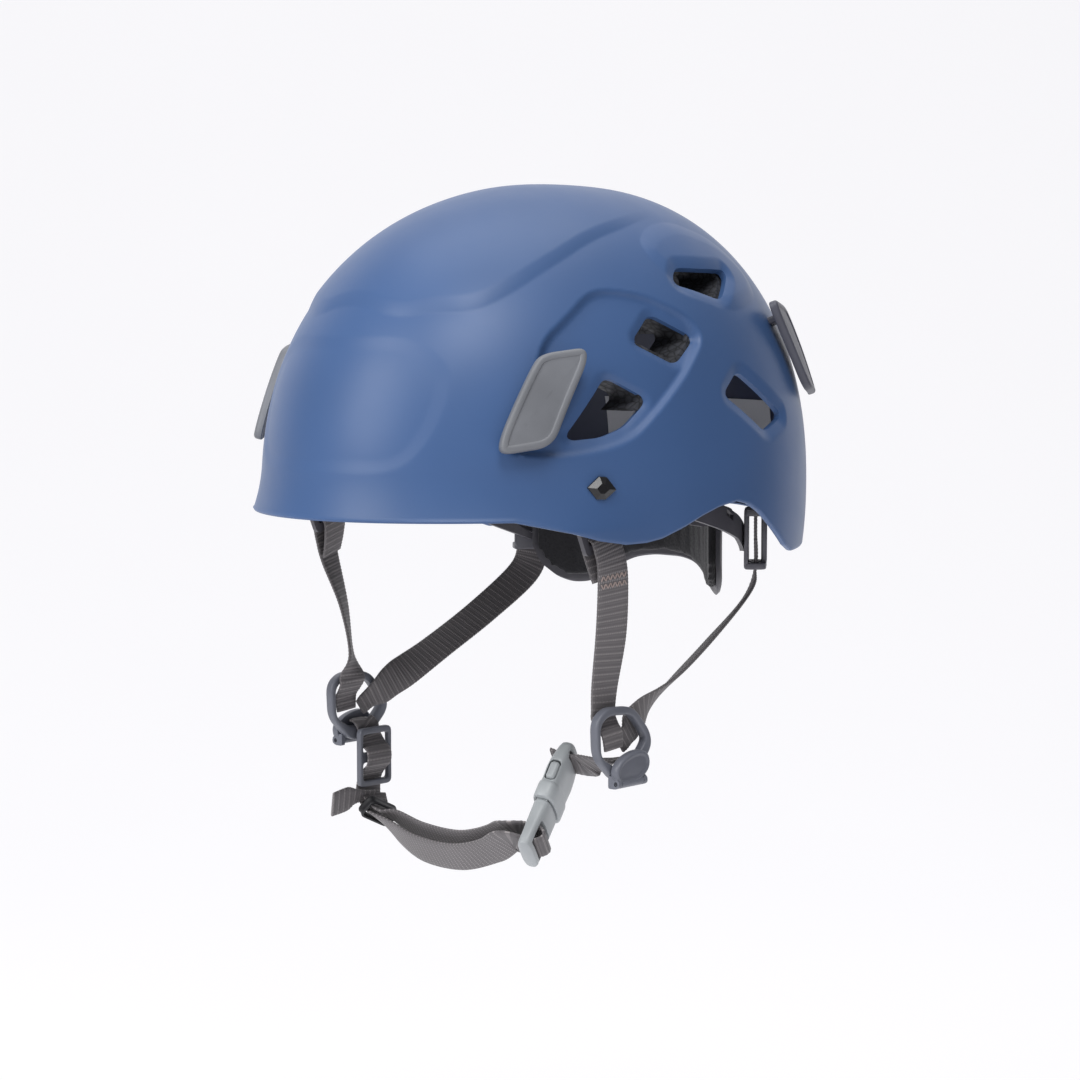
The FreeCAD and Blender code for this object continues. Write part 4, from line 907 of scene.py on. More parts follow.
FRONT_STRAP = [
    ((83.2, -49.6, -26.0), (0.28, 0.95, 0.16), WIDE),
    ((80.6, -50.6, -19.0), (0.20, 0.95, 0.22), WIDE),
    ((78.2, -52.2, -10.6), (0.10, 0.93, 0.30), WIDE),
    ((78.4, -53.4, -7.4), (0.05, 0.93, 0.34), WIDE),
    ((81.3, -53.6, -6.4), (0.05, 0.93, 0.34), WIDE),
    ((84.2, -53.2, -7.6), (0.05, 0.93, 0.34), WIDE),
    ((85.4, -52.2, -11.6), (0.10, 0.93, 0.30), WIDE),
    ((86.4, -50.6, -18.0), (0.20, 0.95, 0.22), WIDE),
    ((85.6, -48.6, -28.6), (0.30, 0.95, 0.16), WIDE),
    ((81.0, -44.5, -50.0), (0.32, 0.94, 0.08), WIDE),
    ((76.9, -43.8, -72.0), (0.10, 0.99, 0.0), WIDE),
    ((76.2, -44.0, -82.0), (0.0, 1.0, 0.05), WIDE),
    ((76.3, -44.0, -85.6), (0.0, 1.0, 0.05), WIDE),
    ((78.4, -43.9, -89.0), (0.0, 1.0, 0.05), WIDE - 1),
    ((80.9, -43.6, -92.4), (0.0, 1.0, 0.05), WIDE - 2),
    ((81.2, -43.0, -98.8), (0.0, 1.0, 0.05), WIDE - 3.5),
]
REAR_STRAP = [
    ((72.0, 66.5, 10.0), (-0.6, 0.8, 0.0), WIDE),
    ((69.4, 68.4, 2.0), (-0.6, 0.8, 0.0), WIDE),
    ((68.3, 69.4, -6.0), (-0.6, 0.8, 0.0), WIDE),
    ((68.3, 69.4, -18.0), (-0.6, 0.8, 0.0), WIDE),
    ((68.3, 69.4, -31.0), (-0.6, 0.8, 0.0), WIDE),
    ((68.8, 63.0, -43.0), (-0.74, 0.52, -0.40), WIDE),
    ((70.6, 36.0, -59.5), (-0.84, 0.29, -0.46), WIDE),
    ((73.0, 8.0, -74.0), (-0.84, 0.29, -0.46), WIDE),
    ((74.2, -8.0, -81.6), (-0.66, 0.42, -0.62), WIDE),
    ((75.6, -19.0, -87.0), (-0.20, 0.58, -0.78), WIDE),
    ((76.0, -26.0, -91.2), (0.0, 0.616, -0.788), WIDE - 1),
    ((78.2, -30.8, -94.2), (0.0, 0.616, -0.788), WIDE - 5),
    ((78.9, -34.2, -96.6), (0.0, 0.616, -0.788), WIDE - 6),
    ((78.9, -36.4, -98.2), (0.0, 0.616, -0.788), WIDE - 7),
]
CHIN_LEFT = [
    ((81.8, -38.6, -104.0), (0.0, 1.0, 0.0), NARROW),
    ((79.6, -38.6, -104.0), (0.0, 1.0, 0.0), NARROW),
    ((76.0, -38.8, -104.2), (0.0, 1.0, -0.1), NARROW),
    ((71.0, -39.4, -105.8), (-0.15, 0.85, -0.4), WIDE - 2),
    ((63.4, -39.2, -107.6), (-0.33, 0.67, -0.6), WIDE),
    (buckle_point(20.4, 0, 7.6), DOWN_BACK, WIDE),
    (buckle_point(20.4, 0, 0.0), DOWN_BACK, WIDE),
    (buckle_point(21.2, 0, -6.2), DOWN_BACK, WIDE),
]
CHIN_RIGHT = [
    ((-81.8, -36.4, -104.0), ACROSS, NARROW),
    ((-79.6, -36.0, -104.0), ACROSS, NARROW),
    ((-77.3, -36.3, -104.8), ACROSS, NARROW),
    ((-76.6, -34.6, -107.4), ACROSS, WIDE - 1),
    ((-76.4, -33.3, -110.8), ACROSS, WIDE - 0.5),
    ((-73.6, -33.0, -114.9), ACROSS, WIDE),
    ((-70.2, -33.0, -117.8), ACROSS, WIDE),
    ((-70.2, -33.0, -123.2), ACROSS, WIDE),
    ((-73.4, -33.0, -126.6), ACROSS, WIDE),
    ((-76.4, -33.0, -130.6), ACROSS, WIDE),
    ((-76.8, -33.6, -136.0), ACROSS, WIDE),
    ((-74.6, -34.8, -141.6), (-0.02, -0.95, 0.25), WIDE),
    ((-66.0, -37.6, -147.6), (0.03, -0.87, 0.49), WIDE),
    ((-50.0, -42.8, -151.4), (0.15, -0.60, 0.75), WIDE),
    ((-25.0, -51.6, -154.4), (0.25, -0.52, 0.82), WIDE),
    ((6.0, -60.6, -152.4), (0.32, -0.56, 0.76), WIDE),
    ((32.0, -67.0, -145.2), (0.36, -0.64, 0.68), WIDE),
    (buckle_point(-22.6, 0, -11.0), UP_FORWARD, WIDE),
    (buckle_point(-22.4, 0, -4.0), UP_FORWARD, WIDE),
    (buckle_point(-22.2, 0, 3.0), UP_FORWARD, WIDE),
    (buckle_point(-19.1, 0, 5.8), UP_FORWARD, WIDE),
    (buckle_point(-16.0, 0, 3.0), UP_FORWARD, WIDE),
    (buckle_point(-15.8, 0, -4.0), UP_FORWARD, WIDE),
    (buckle_point(-17.4, 0, -11.0), UP_FORWARD, WIDE),
    ((33.0, -63.6, -139.6), (0.36, -0.64, 0.68), WIDE),
    ((7.0, -56.4, -147.0), (0.32, -0.56, 0.76), WIDE),
    ((-24.0, -47.4, -149.2), (0.25, -0.52, 0.82), WIDE),
    ((-48.6, -39.4, -147.2), (0.15, -0.60, 0.75), WIDE),
    ((-58.9, -37.8, -146.2), (0.03, -0.86, 0.49), WIDE),
    ((-66.1, -36.0, -144.0), (0.015, -0.91, 0.41), WIDE),
    ((-69.7, -35.0, -141.7), (0.0, -0.95, 0.25), WIDE),
    ((-72.4, -34.3, -137.4), (0.0, -0.97, 0.15), WIDE),
]
TAIL = [
    ((-71.9, -34.6, -138.3), (0.34, 0.0, 0.94), WIDE - 10),
    ((-72.0, -41.0, -137.9), (0.34, 0.0, 0.94), WIDE - 9.5),
    ((-72.2, -46.5, -137.6), (0.34, 0.0, 0.94), WIDE - 7),
    ((-72.8, -51.0, -138.2), (0.36, 0.0, 0.93), WIDE - 2),
    ((-74.0, -59.0, -139.8), (0.38, 0.0, 0.92), WIDE - 2),
]


def mirrored(stations, side):
    if side > 0:
        return stations
    return [((-p[0], p[1], p[2]), (-w[0], w[1], w[2]), width) for p, w, width in stations]


def smooth_route(stations, steps):
    """Catmull-Rom curve through the stations, the same rule as the CAD solids."""
    route = []
    last = len(stations) - 1
    for i in range(last):
        four = [stations[max(i - 1, 0)], stations[i], stations[i + 1], stations[min(i + 2, last)]]
        for step in range(steps if i < last - 1 else steps + 1):
            t = step / float(steps)
            weights = (-0.5 * t + t * t - 0.5 * t ** 3, 1.0 - 2.5 * t * t + 1.5 * t ** 3,
                       0.5 * t + 2.0 * t * t - 1.5 * t ** 3, -0.5 * t * t + 0.5 * t ** 3)
            point, axis, width = np.zeros(3), np.zeros(3), 0.0
            for weight, station in zip(weights, four):
                point = point + weight * np.array(station[0])
                axis = axis + weight * np.array(station[1])
                width += weight * station[2]
            route.append((point, axis, width))
    return route


def even_route(stations, spacing):
    """The same curve with evenly spaced points."""
    points, axes, widths = (np.array(values) for values in zip(*smooth_route(stations, 40)))
    run = run_along(points)
    count = max(4, int(run[-1] / spacing))
    at = np.linspace(0.0, run[-1], count + 1)
    points = np.stack([np.interp(at, run, points[:, k]) for k in range(3)], axis=1)
    axes = np.stack([np.interp(at, run, axes[:, k]) for k in range(3)], axis=1)
    return points, axes, np.interp(at, run, widths), at


def ribbon(stations, rib=0.09, spacing=0.375):
    """Points, faces and map of webbing with raised cross ribs and rounded selvedges."""
    points, axes, widths, at = even_route(stations, spacing)
    tangent = np.gradient(points, axis=0)
    tangent /= np.linalg.norm(tangent, axis=1, keepdims=True)
    across = axes - tangent * np.sum(tangent * axes, axis=1, keepdims=True)
    across /= np.linalg.norm(across, axis=1, keepdims=True)
    normal = np.cross(tangent, across)
    # section of the webbing: position across (in half widths) and through (in half thickness)
    section = [(-1.0, 0.0), (-0.985, 0.55), (-0.93, 0.92), (-0.6, 1.0), (-0.2, 1.0), (0.2, 1.0),
               (0.6, 1.0), (0.93, 0.92), (0.985, 0.55), (1.0, 0.0), (0.985, -0.55), (0.93, -0.92),
               (0.6, -1.0), (0.2, -1.0), (-0.2, -1.0), (-0.6, -1.0), (-0.93, -0.92),
               (-0.985, -0.55)]
    count = len(section)
    rows = len(points)
    wave = np.tile([1.0, 0.0, -1.0, 0.0], rows)[:rows]
    at = np.arange(rows) * RIB / 4.0
    verts = np.zeros((rows, count, 3))
    for k, (a, b) in enumerate(section):
        through = b * (THICK / 2 - rib) * np.ones(rows)
        if abs(b) > 0.6:
            through = b * (THICK / 2 - rib) + np.sign(b) * rib * wave
        sideways = a * widths / 2 + SELVEDGE_WAVE * wave * np.sign(a)
        verts[:, k] = (points + across * sideways[:, None]
                       + normal * through[:, None])
    faces = []
    maps = []
    for i in range(rows - 1):
        for k in range(count):
            m = (k + 1) % count
            faces.append((i * count + k, (i + 1) * count + k, (i + 1) * count + m, i * count + m))
            u0 = section[k][0] * WIDE / 2
            u1 = section[m][0] * WIDE / 2
            maps.extend(((u0, at[i]), (u0, at[i + 1]), (u1, at[i + 1]), (u1, at[i])))
    for row, order in ((0, 1), (rows - 1, -1)):
        loop = [row * count + k for k in range(count)][::order]
        faces.append(tuple(loop))
        maps.extend([(section[k][0] * WIDE / 2, at[row]) for k in range(count)][::order])
    return verts.reshape(-1, 3), faces, maps


def webbing(name, routes, body, replaced):
    ribbons = [ribbon(stations) for stations in routes]
    points, faces = join([(points.tolist(), faces) for points, faces, _ in ribbons])
    mesh = mesh_from(name, points, faces)
    layer = mesh.uv_layers.new(name="weave")
    layer.data.foreach_set("uv", np.concatenate([maps for _, _, maps in ribbons]).ravel())
    return finish_piece(name, mesh, "webbing", body, (replaced,), angle=70.0)


TURNED = {-50.0: (-0.56, 0.83, 0.0), -72.0: (-0.66, 0.75, 0.0)}
for side, word in SIDES:
    route = mirrored(FRONT_STRAP, side)
    if side < 0:
        route = [(p, TURNED.get(p[2], w), width) for p, w, width in route]
    webbing("front_webbing_" + word, [route], "helmet", "front_strap_" + word)
    upper = webbing("rear_webbing_upper_" + word, [mirrored(REAR_STRAP[:4], side)], None,
                    "rear_strap_" + word)
    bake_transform(upper)
    lower = webbing("rear_webbing_lower_" + word, [mirrored(REAR_STRAP[3:], side)], None,
                    "rear_strap_" + word)
    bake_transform(lower)
webbing("chin_webbing_left", [CHIN_LEFT], "helmet", "chin_strap_left")
chin = webbing("chin_webbing_right", [CHIN_RIGHT, TAIL], None, "chin_strap_right")
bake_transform(chin)


# bar tacks that close the loop round each hanger
def grain(place, length, radius):
    """Points and faces of one raised stitch along local y."""
    points = []
    for y, r in ((-0.5, 0.35), (-0.36, 0.85), (0.0, 1.0), (0.36, 0.85), (0.5, 0.35)):
        points.extend(tuple(place @ Vector((c * r * radius, y * length, s * r * radius)))
                      for c, s in circle(8))
    return points, capped(5, 8)


for side, word in SIDES:
    points, axes, widths, at = even_route(mirrored(FRONT_STRAP, side), 0.5)
    outer_run = np.arange(len(at)) > np.argmax(points[:, 2])
    parts = []
    for level, slant in ((-24.6, 1), (-28.2, -1)):
        row = int(np.argmin(np.where(outer_run, np.abs(points[:, 2] - level), 1e9)))
        tangent = Vector(points[row + 1] - points[row - 1]).normalized()
        across = Vector(axes[row])
        across = (across - tangent * across.dot(tangent)).normalized()
        normal = tangent.cross(across)
        if normal.x * side < 0:
            normal = -normal
        for step in range(11):
            middle = Vector(points[row]) + across * (step - 5) * 1.15 + normal * (THICK / 2 + 0.02)
            lean = tangent + across * (0.45 * slant * (1 if step % 2 else -1))
            parts.append(grain(frame_at(middle, normal.cross(lean), normal), 2.4, 0.32))
    points, faces = join(parts)
    finish_piece("bar_tack_" + word, oriented(points, faces, LOCAL), "thread", "helmet")


# ------------------------------------------------------------------ pads
CLOTH_FRAMES = 20
CLOTH = {"quality": 5, "mass": 0.3, "tension_stiffness": 12.0, "compression_stiffness": 12.0,
         "bending_stiffness": 0.6, "use_pressure": True, "uniform_pressure_force": 4.0,
         "vertex_group_mass": "glued"}
HEAD_MIDDLE = np.array([0.0, 0.014, 0.0])  # in metres


def vertex_table(mesh, field="co"):
    return np.array([getattr(v, field)[:] for v in mesh.vertices])


def press_in(mesh, depth_mm):
    """Move every point of a mesh against its normal."""
    co, normal = vertex_table(mesh), vertex_table(mesh, "normal")
    mesh.vertices.foreach_set("co", (co - normal * depth_mm[:, None] * MM).ravel())


def settle(obj, cap):
    """Inflate a pad by cloth simulation; no point moves further than the cap."""
    cloth = obj.modifiers.new("cloth", "CLOTH")
    for key, value in CLOTH.items():
        setattr(cloth.settings, key, value)
    cloth.settings.effector_weights.gravity = 0.0
    cloth.point_cache.frame_start = 1
    cloth.point_cache.frame_end = CLOTH_FRAMES
    start = vertex_table(obj.data)
    scene = bpy.context.scene
    for step in range(1, CLOTH_FRAMES + 1):
        scene.frame_set(step)
    graph = bpy.context.evaluated_depsgraph_get()
    moved = vertex_table(obj.evaluated_get(graph).data)
    obj.modifiers.remove(cloth)
    scene.frame_set(1)
    shift = moved - start
    length = np.maximum(np.linalg.norm(shift, axis=1, keepdims=True), 1e-9)
    shift *= np.minimum(1.0, cap * MM / length)
    obj.data.vertices.foreach_set("co", (start + shift).ravel())


def soft_pad(node, body, voxel, cap, channels):
    """A foam pad in knit cover: the CAD solid remeshed, glued at its back, inflated and quilted."""
    source = nodes[node]
    mesh = source.data.copy()
    mesh.transform(source.matrix_world)
    obj = linked(node + "_cover", mesh)
    remesh = obj.modifiers.new("remesh", "REMESH")
    remesh.mode = "VOXEL"
    remesh.voxel_size = voxel * MM
    obj.data = final_mesh(obj)
    obj.modifiers.clear()
    away = vertex_table(obj.data) - HEAD_MIDDLE
    away /= np.linalg.norm(away, axis=1, keepdims=True)
    backing = np.sum(vertex_table(obj.data, "normal") * away, axis=1) > 0.35
    press_in(obj.data, np.where(backing, 0.15, 0.7))
    group = obj.vertex_groups.new(name="glued")
    group.add([int(i) for i in np.nonzero(backing)[0]], 1.0, "REPLACE")
    settle(obj, cap)
    # stitched channels press the inner face in
    press_in(obj.data, channels(vertex_table(obj.data) / MM) * (~backing))
    smooth = obj.modifiers.new("subdivide", "SUBSURF")
    smooth.levels = 1
    obj.data = final_mesh(obj)
    obj.modifiers.clear()
    obj.data.materials.clear()
    obj.data.materials.append(LOOKS["padding"])
    obj.data.shade_smooth()
    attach(obj, body)
    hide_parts(node)


def groove(value, pitch, width, depth):
    """Depth of evenly spaced rounded channels."""
    gap = np.abs((value / pitch + 0.5) % 1.0 - 0.5) * pitch
    return depth * np.clip(1.0 - gap / width, 0.0, 1.0) ** 2


soft_pad("brow_pad", "suspension", 2.0, 1.2,
         lambda p: groove(np.degrees(np.arctan2(p[:, 0], -p[:, 1])), 12.0, 2.0, 0.9))
soft_pad("crown_pad", "helmet", 2.0, 1.4,
         lambda p: groove(p[:, 0] + 8.0, 16.0, 2.5, 0.9))
soft_pad("cradle_pad", "rear_cradle", 2.0, 1.0,
         lambda p: groove(p[:, 0], 20.0, 2.5, 0.8))


# ------------------------------------------------------------------ rear cradle and strap guides
BAND_LONG, BAND_WIDE, BAND_STATION = 97.0, 76.0, -5.0
CRADLE_TOP = [(0, 4.0), (16, 4.0), (30, 3.4), (42, 1.2), (50, -2.6), (54, -6.0), (56, -9.5)]
CRADLE_FOOT = [(0, -32.0), (10, -32.3), (20, -34.6), (28, -39.4), (34, -44.0), (40, -46.0),
               (46, -45.2), (51, -41.2), (54.4, -35.0), (56, -28.5)]
CRADLE_INNER, CRADLE_OUTER, CRADLE_BEAD = -2.6, -0.9, 0.9


def on_band(x, z, offset):
    """A point of the headband's oval behind the head, at an offset outwards."""
    reach = (BAND_LONG + offset) * math.sqrt(max(0.0, 1.0 - (x / (BAND_WIDE + offset)) ** 2))
    return (x, BAND_STATION + reach, z)


def smooth_curve(stations, at):
    """Heights of a smooth curve through (x, height) stations."""
    xs, zs = (np.array(values, float) for values in zip(*stations))
    slope = np.gradient(zs, xs)
    slope[0] = 0.0
    i = np.clip(np.searchsorted(xs, at) - 1, 0, len(xs) - 2)
    step = xs[i + 1] - xs[i]
    t = (at - xs[i]) / step
    return ((2 * t ** 3 - 3 * t ** 2 + 1) * zs[i] + (t ** 3 - 2 * t ** 2 + t) * step * slope[i]
            + (3 * t ** 2 - 2 * t ** 3) * zs[i + 1] + (t ** 3 - t ** 2) * step * slope[i + 1])


def build_cradle():
    """Thin curved plate with a raised border and two lobes low behind the ears."""
    columns = np.linspace(-56.0, 56.0, 113)
    rows = 30
    top = smooth_curve(CRADLE_TOP, np.abs(columns))
    foot = smooth_curve(CRADLE_FOOT, np.abs(columns))
    points = []
    for x, high, low in zip(columns, top, foot):
        levels = low + (high - low) * np.linspace(0.02, 0.98, rows)
        ends = min(56.0 - abs(x), 6.0)
        points.append(on_band(x, low, CRADLE_INNER + 0.8))
        for z in levels:
            border = min(z - low, high - z, ends)
            bead = CRADLE_BEAD * math.exp(-((border - 1.8) / 1.1) ** 2)
            points.append(on_band(x, z, CRADLE_OUTER + bead))
        points.append(on_band(x, high, CRADLE_INNER + 0.8))
        points.extend(on_band(x, z, CRADLE_INNER) for z in levels[::-1])
    loop = 2 * rows + 2
    faces = []
    for i in range(len(columns) - 1):
        for k in range(loop):
            m = (k + 1) % loop
            faces.append((i * loop + k, (i + 1) * loop + k, (i + 1) * loop + m, i * loop + m))
    for first in (0, (len(columns) - 1) * loop):
        for k in range(rows + 1):
            pair = (first + k, first + k + 1, first + loop - 1 - k, first + (loop - k) % loop)
            faces.append(tuple(dict.fromkeys(pair)))
    boss = ringed([(5.0 * c, 5.0 * s) for c, s in circle(40)],
                  [(0.0, -1.0), (0.0, 2.8), (0.4, 3.2), (3.3, 3.2), (3.65, 2.8), (3.65, -1.0),
                   (0.0, -1.0)], False, False)
    place = frame_at((0, 90.2, -16.0), (1, 0, 0), (0, 1, 0))
    boss = ([tuple(place @ Vector(p)) for p in boss[0]], boss[1])
    points, faces = join([(points, faces), boss])
    finish_piece("cradle_plate", oriented(points, faces, LOCAL), "inner_plastic", "rear_cradle",
                 ("cradle",), angle=45.0)


build_cradle()

GUIDE_TALL, GUIDE_WIDE, GUIDE_DEEP = 27.0, 19.0, 10.2
for side, word in SIDES:
    guide = frame_at((side * 64.3, 66.35, -18.0), (0, 0, 1), (side * 0.80, 0.60, 0))
    half, wide, out = GUIDE_TALL / 2, GUIDE_WIDE / 2, GUIDE_DEEP
    upright = guide @ Matrix(((1, 0, 0, 0), (0, 0, -1, 0), (0, 1, 0, 0), (0, 0, 0, 1)))
    ring = rounded_plate("guide_ring", [
        rounded(box_outline(-half, 0, half, out), 4.0),
        rounded(box_outline(-half + 3, 2, half - 3, out - 2.6), 1.5)], 6.0, 0.9, upright)
    finish_piece("guide_ring_" + word, ring, "guide", "suspension",
                 ("strap_guide_" + word,), angle=40.0)
    seat = rounded_plate("guide_seat", [rounded(box_outline(-half, -wide, half, wide), 4.0)],
                         2.0, 0.7, guide @ Matrix.Translation((0, 0, 1.0)))
    finish_piece("guide_seat_" + word, seat, "guide", "suspension", angle=40.0)
    for level, end in ((half - 1.5, "top"), (-half + 1.5, "foot")):
        flat = guide @ Matrix(((0, 0, 1, level), (1, 0, 0, 0), (0, 1, 0, 0), (0, 0, 0, 1)))
        shelf = rounded_plate("guide_shelf", [
            rounded(box_outline(-wide, 0.4, wide, 10.0), [1.5, 1.5, 4.0, 4.0]),
            rounded(box_outline(-8.1, 3.0, 8.1, 6.4), 1.2)], 3.0, 0.7, flat)
        finish_piece("guide_shelf_" + end + "_" + word, shelf, "guide", "suspension",
                     angle=40.0)


# ------------------------------------------------------------------ dividers and locks
DIVIDER_OUTLINE = [(-18.2, 12.4), (-11.0, 17.4), (6.0, 16.2), (17.2, 4.2), (18.0, -3.0),
                   (5.5, -15.0), (-5.5, -15.0), (-17.4, -3.5)]
DIVIDER_WINDOW = [(-15.2, 10.4), (-9.6, 13.8), (4.6, 12.8), (14.4, 1.6), (12.0, -2.0),
                  (5.0, -8.4), (-6.0, -8.4), (-14.6, -3.4)]
DIVIDER_SITE = (78.0, -37.0, -98.0)
DIVIDER_THICK = 4.5
LUG_INNER, LUG_OUTER = 7.2, 9.2
LUG_PROFILE = [(-2.2, 3.0), (3.4, 3.0), (2.6, 7.2), (1.2, 9.2), (-1.2, 9.2), (-2.2, 7.2)]
HINGE_DROP, HINGE_OUT, BARREL_RADIUS, BARREL_PLAY = 15.0, 7.2, 2.0, 0.3
# (inset, height) from the cover's underside over its raised border to its middle
COVER_RINGS = [(0.9, 5.05), (0.2, 5.2), (0.0, 5.8), (0.0, 7.6), (0.3, 8.5), (0.9, 8.95),
               (1.5, 9.0), (1.9, 8.8), (2.2, 8.55), (2.8, 8.5)]


def squared_oval(a, b, power, count):
    """Points round an oval; a power below 1 pushes them out towards the corners."""
    out = []
    for i in range(count):
        t = 2 * math.pi * i / count
        c, s = math.cos(t), math.sin(t)
        out.append((a * math.copysign(abs(c) ** power, c), b * math.copysign(abs(s) ** power, s)))
    return out


def turned_ellipse(a, b, angle_deg, cx, cy, count=72):
    angle = math.radians(angle_deg)
    out = []
    for u, v in squared_oval(a, b, 0.88, count):
        out.append((cx + u * math.cos(angle) - v * math.sin(angle),
                    cy + u * math.sin(angle) + v * math.cos(angle)))
    return np.array(out)


for side, word in SIDES:
    place = frame_at((side * DIVIDER_SITE[0], *DIVIDER_SITE[1:]), (0, side, 0), (side, 0, 0))
    mid = place @ Matrix.Translation((0, 0, DIVIDER_THICK / 2))
    outer = rounded([(side * x, y) for x, y in DIVIDER_OUTLINE], 5.0)
    window = rounded([(side * x, y) for x, y in DIVIDER_WINDOW], 3.5)
    plate = rounded_plate("divider_plate", [outer, window], DIVIDER_THICK, 1.1, mid)
    finish_piece("divider_frame_" + word, plate, "divider", "helmet",
                 ("divider_" + word,), angle=40.0)
    lug = rounded([(-HINGE_DROP + y, z) for y, z in LUG_PROFILE], 1.0, 3)
    points, faces = join([prism(lug, LUG_INNER, LUG_OUTER), prism(lug, -LUG_OUTER, -LUG_INNER)])
    finish_piece("divider_lugs_" + word, oriented(points, faces, place), "divider", "helmet")
    # flip cover: a pebble with a raised border, and its hinge barrel
    oval = turned_ellipse(11.0, 6.6, side * 14.0, side * 0.8, -9.0)
    oval[:, 1] = np.maximum(oval[:, 1], -HINGE_DROP - 0.2)
    cover = dished(oval, COVER_RINGS, 8.75)
    half = LUG_INNER - BARREL_PLAY
    barrel = [(-HINGE_DROP + BARREL_RADIUS * s, HINGE_OUT + BARREL_RADIUS * c)
              for c, s in circle(24)]
    points, faces = join([cover, prism(barrel, -half, half)])
    finish_piece("divider_cover_" + word, oriented(points, faces, place), "divider",
                 "divider_lock_" + word, ("divider_lock_" + word,), angle=36.0)


# ------------------------------------------------------------------ webbing slider
slider_place = frame_at((-73.4, -33.0, -120.5), (0, -1, 0), (-1, 0, 0))
slider_outline = rounded(box_outline(-10, -13.5, 10, 13.5), 3.0)
slider_slots = [rounded(box_outline(-8, a, 8, b), 1.6) for a, b in ((2.2, 10.6), (-10.8, -2.4))]
slider_mesh = rounded_plate("slider_plate", [slider_outline] + slider_slots, 3.0, 0.7, slider_place)
finish_piece("chin_slider_plate", slider_mesh, "divider", "helmet", ("chin_slider",))


# ------------------------------------------------------------------ keeper ring
keeper_place = frame_at((-67.05, -36.4, -145.1), (0.015, -0.91, 0.41), (0.79, -0.26, -0.55))
keeper_outline = resample(rounded(box_outline(-9.7, -5.1, 9.7, 5.1), 3.4), 0.5)
keeper_rings = [(0.25, -2.25), (0.0, -1.9), (0.0, -1.2), (0.22, -0.9), (0.22, 0.9), (0.0, 1.2),
                (0.0, 1.9), (0.25, 2.25), (0.95, 2.25), (1.2, 1.95), (1.2, -1.95), (0.95, -2.25)]
points, faces = ringed(keeper_outline, keeper_rings + keeper_rings[:1], False, False)
finish_piece("keeper_loop", oriented(points, faces, keeper_place), "keeper", "helmet",
             ("keeper_ring",), angle=40.0)


# ------------------------------------------------------------------ buckle
def lofted(sections, count=48, power=3.2):
    """Loft along x of squared ovals: (x, half width in y, half thickness in z)."""
    points = []
    for x, half_y, half_z in sections:
        points.extend((x, y, z) for y, z in squared_oval(half_y, half_z, 2 / power, count))
    return points, capped(len(sections), count)


SOCKET_HALF, WEB_HALF = 9.3, 8.1  # half widths of the socket's hollow and the plug's loops
PRONG_NEAR, PRONG_FAR, PRONG_HALF_THICK = 6.4, 8.9, 2.3
female_sections = [(-4.0, 10.9, 4.6), (-3.6, 11.5, 4.95), (-2.8, 11.8, 5.1), (2.6, 11.9, 5.1),
                   (3.6, 11.7, 5.0), (4.2, 11.2, 4.6), (6.0, 11.2, 4.45), (12.0, 11.7, 4.5),
                   (16.0, 11.0, 4.4), (20.0, 9.7, 4.1), (23.5, 8.5, 3.7), (25.6, 7.4, 3.2),
                   (26.7, 6.0, 2.5), (27.0, 4.6, 1.8)]
female = oriented(*lofted(female_sections), LOCAL)
cavity = oriented(*block(-6.0, -SOCKET_HALF, -2.8, 15.0, SOCKET_HALF, 2.8), LOCAL)
window_outline = rounded(box_outline(4.6, -2.6, 14.6, 2.6), 2.4)
window_points, window_faces = ringed(window_outline, [(0, -14), (0, 14)])
window_points = [(x, z, -y) for x, y, z in window_points]
window_cut = oriented(window_points, window_faces, LOCAL)
slot_cut = oriented(*block(18.4, -8.0, -8.0, 22.4, 8.0, 8.0, 1.2), LOCAL)
female = cut_with(female, [cavity, window_cut, slot_cut])
female = bevelled(female, 0.35, 2, 50.0)
in_metres = BUCKLE.copy()
in_metres.translation *= MM
female.transform(in_metres)
finish_piece("buckle_socket", female, "buckle", "helmet", ("buckle_female",), angle=34.0)

male_sections = [(-27.0, 9.4, 2.6), (-26.6, 10.1, 3.2), (-25.6, 10.5, 3.5), (-20.0, 10.3, 3.6),
                 (-13.0, 10.0, 3.9), (-8.0, 9.7, 4.1), (-5.2, 9.5, 4.2), (-4.5, 9.2, 4.0)]
male = oriented(*lofted(male_sections), LOCAL)
loop_far = oriented(*block(-24.6, -WEB_HALF, -8.0, -20.3, WEB_HALF, 8.0, 1.0), LOCAL)
loop_near = oriented(*block(-18.1, -WEB_HALF, -8.0, -13.4, WEB_HALF, 8.0, 1.0), LOCAL)
relief_cut = oriented(*block(-21.0, -WEB_HALF, 1.5, -17.4, WEB_HALF, 8.0), LOCAL)
male = cut_with(male, [loop_far, loop_near, relief_cut])
male = bevelled(male, 0.4, 2, 50.0)
prong_parts = []
for turn in (1, -1):
    low, high = sorted((turn * PRONG_NEAR, turn * PRONG_FAR))
    prong_parts.append(block(-6.0, low, -PRONG_HALF_THICK, 12.6, high, PRONG_HALF_THICK, 0.8))
    # pressed pad that fills the socket's side window
    pad_outline = rounded(box_outline(5.1, -2.15, 13.9, 2.15), 2.0)
    pad = ringed(pad_outline, [(0.0, 8.0), (0.0, 10.4), (0.3, 11.1), (0.9, 11.6), (1.5, 11.75)])
    prong_parts.append(([(x, turn * z, -turn * y) for x, y, z in pad[0]], pad[1]))
prong_parts.append(block(-6.0, -2.4, -PRONG_HALF_THICK, 9.0, 2.4, PRONG_HALF_THICK, 0.8))
prongs = oriented(*join(prong_parts), LOCAL)
for mesh in (male, prongs):
    mesh.transform(in_metres)
finish_piece("buckle_plug", male, "buckle", "buckle_male", ("buckle_male",), angle=34.0)
finish_piece("buckle_prongs", prongs, "buckle", "buckle_male", angle=34.0)


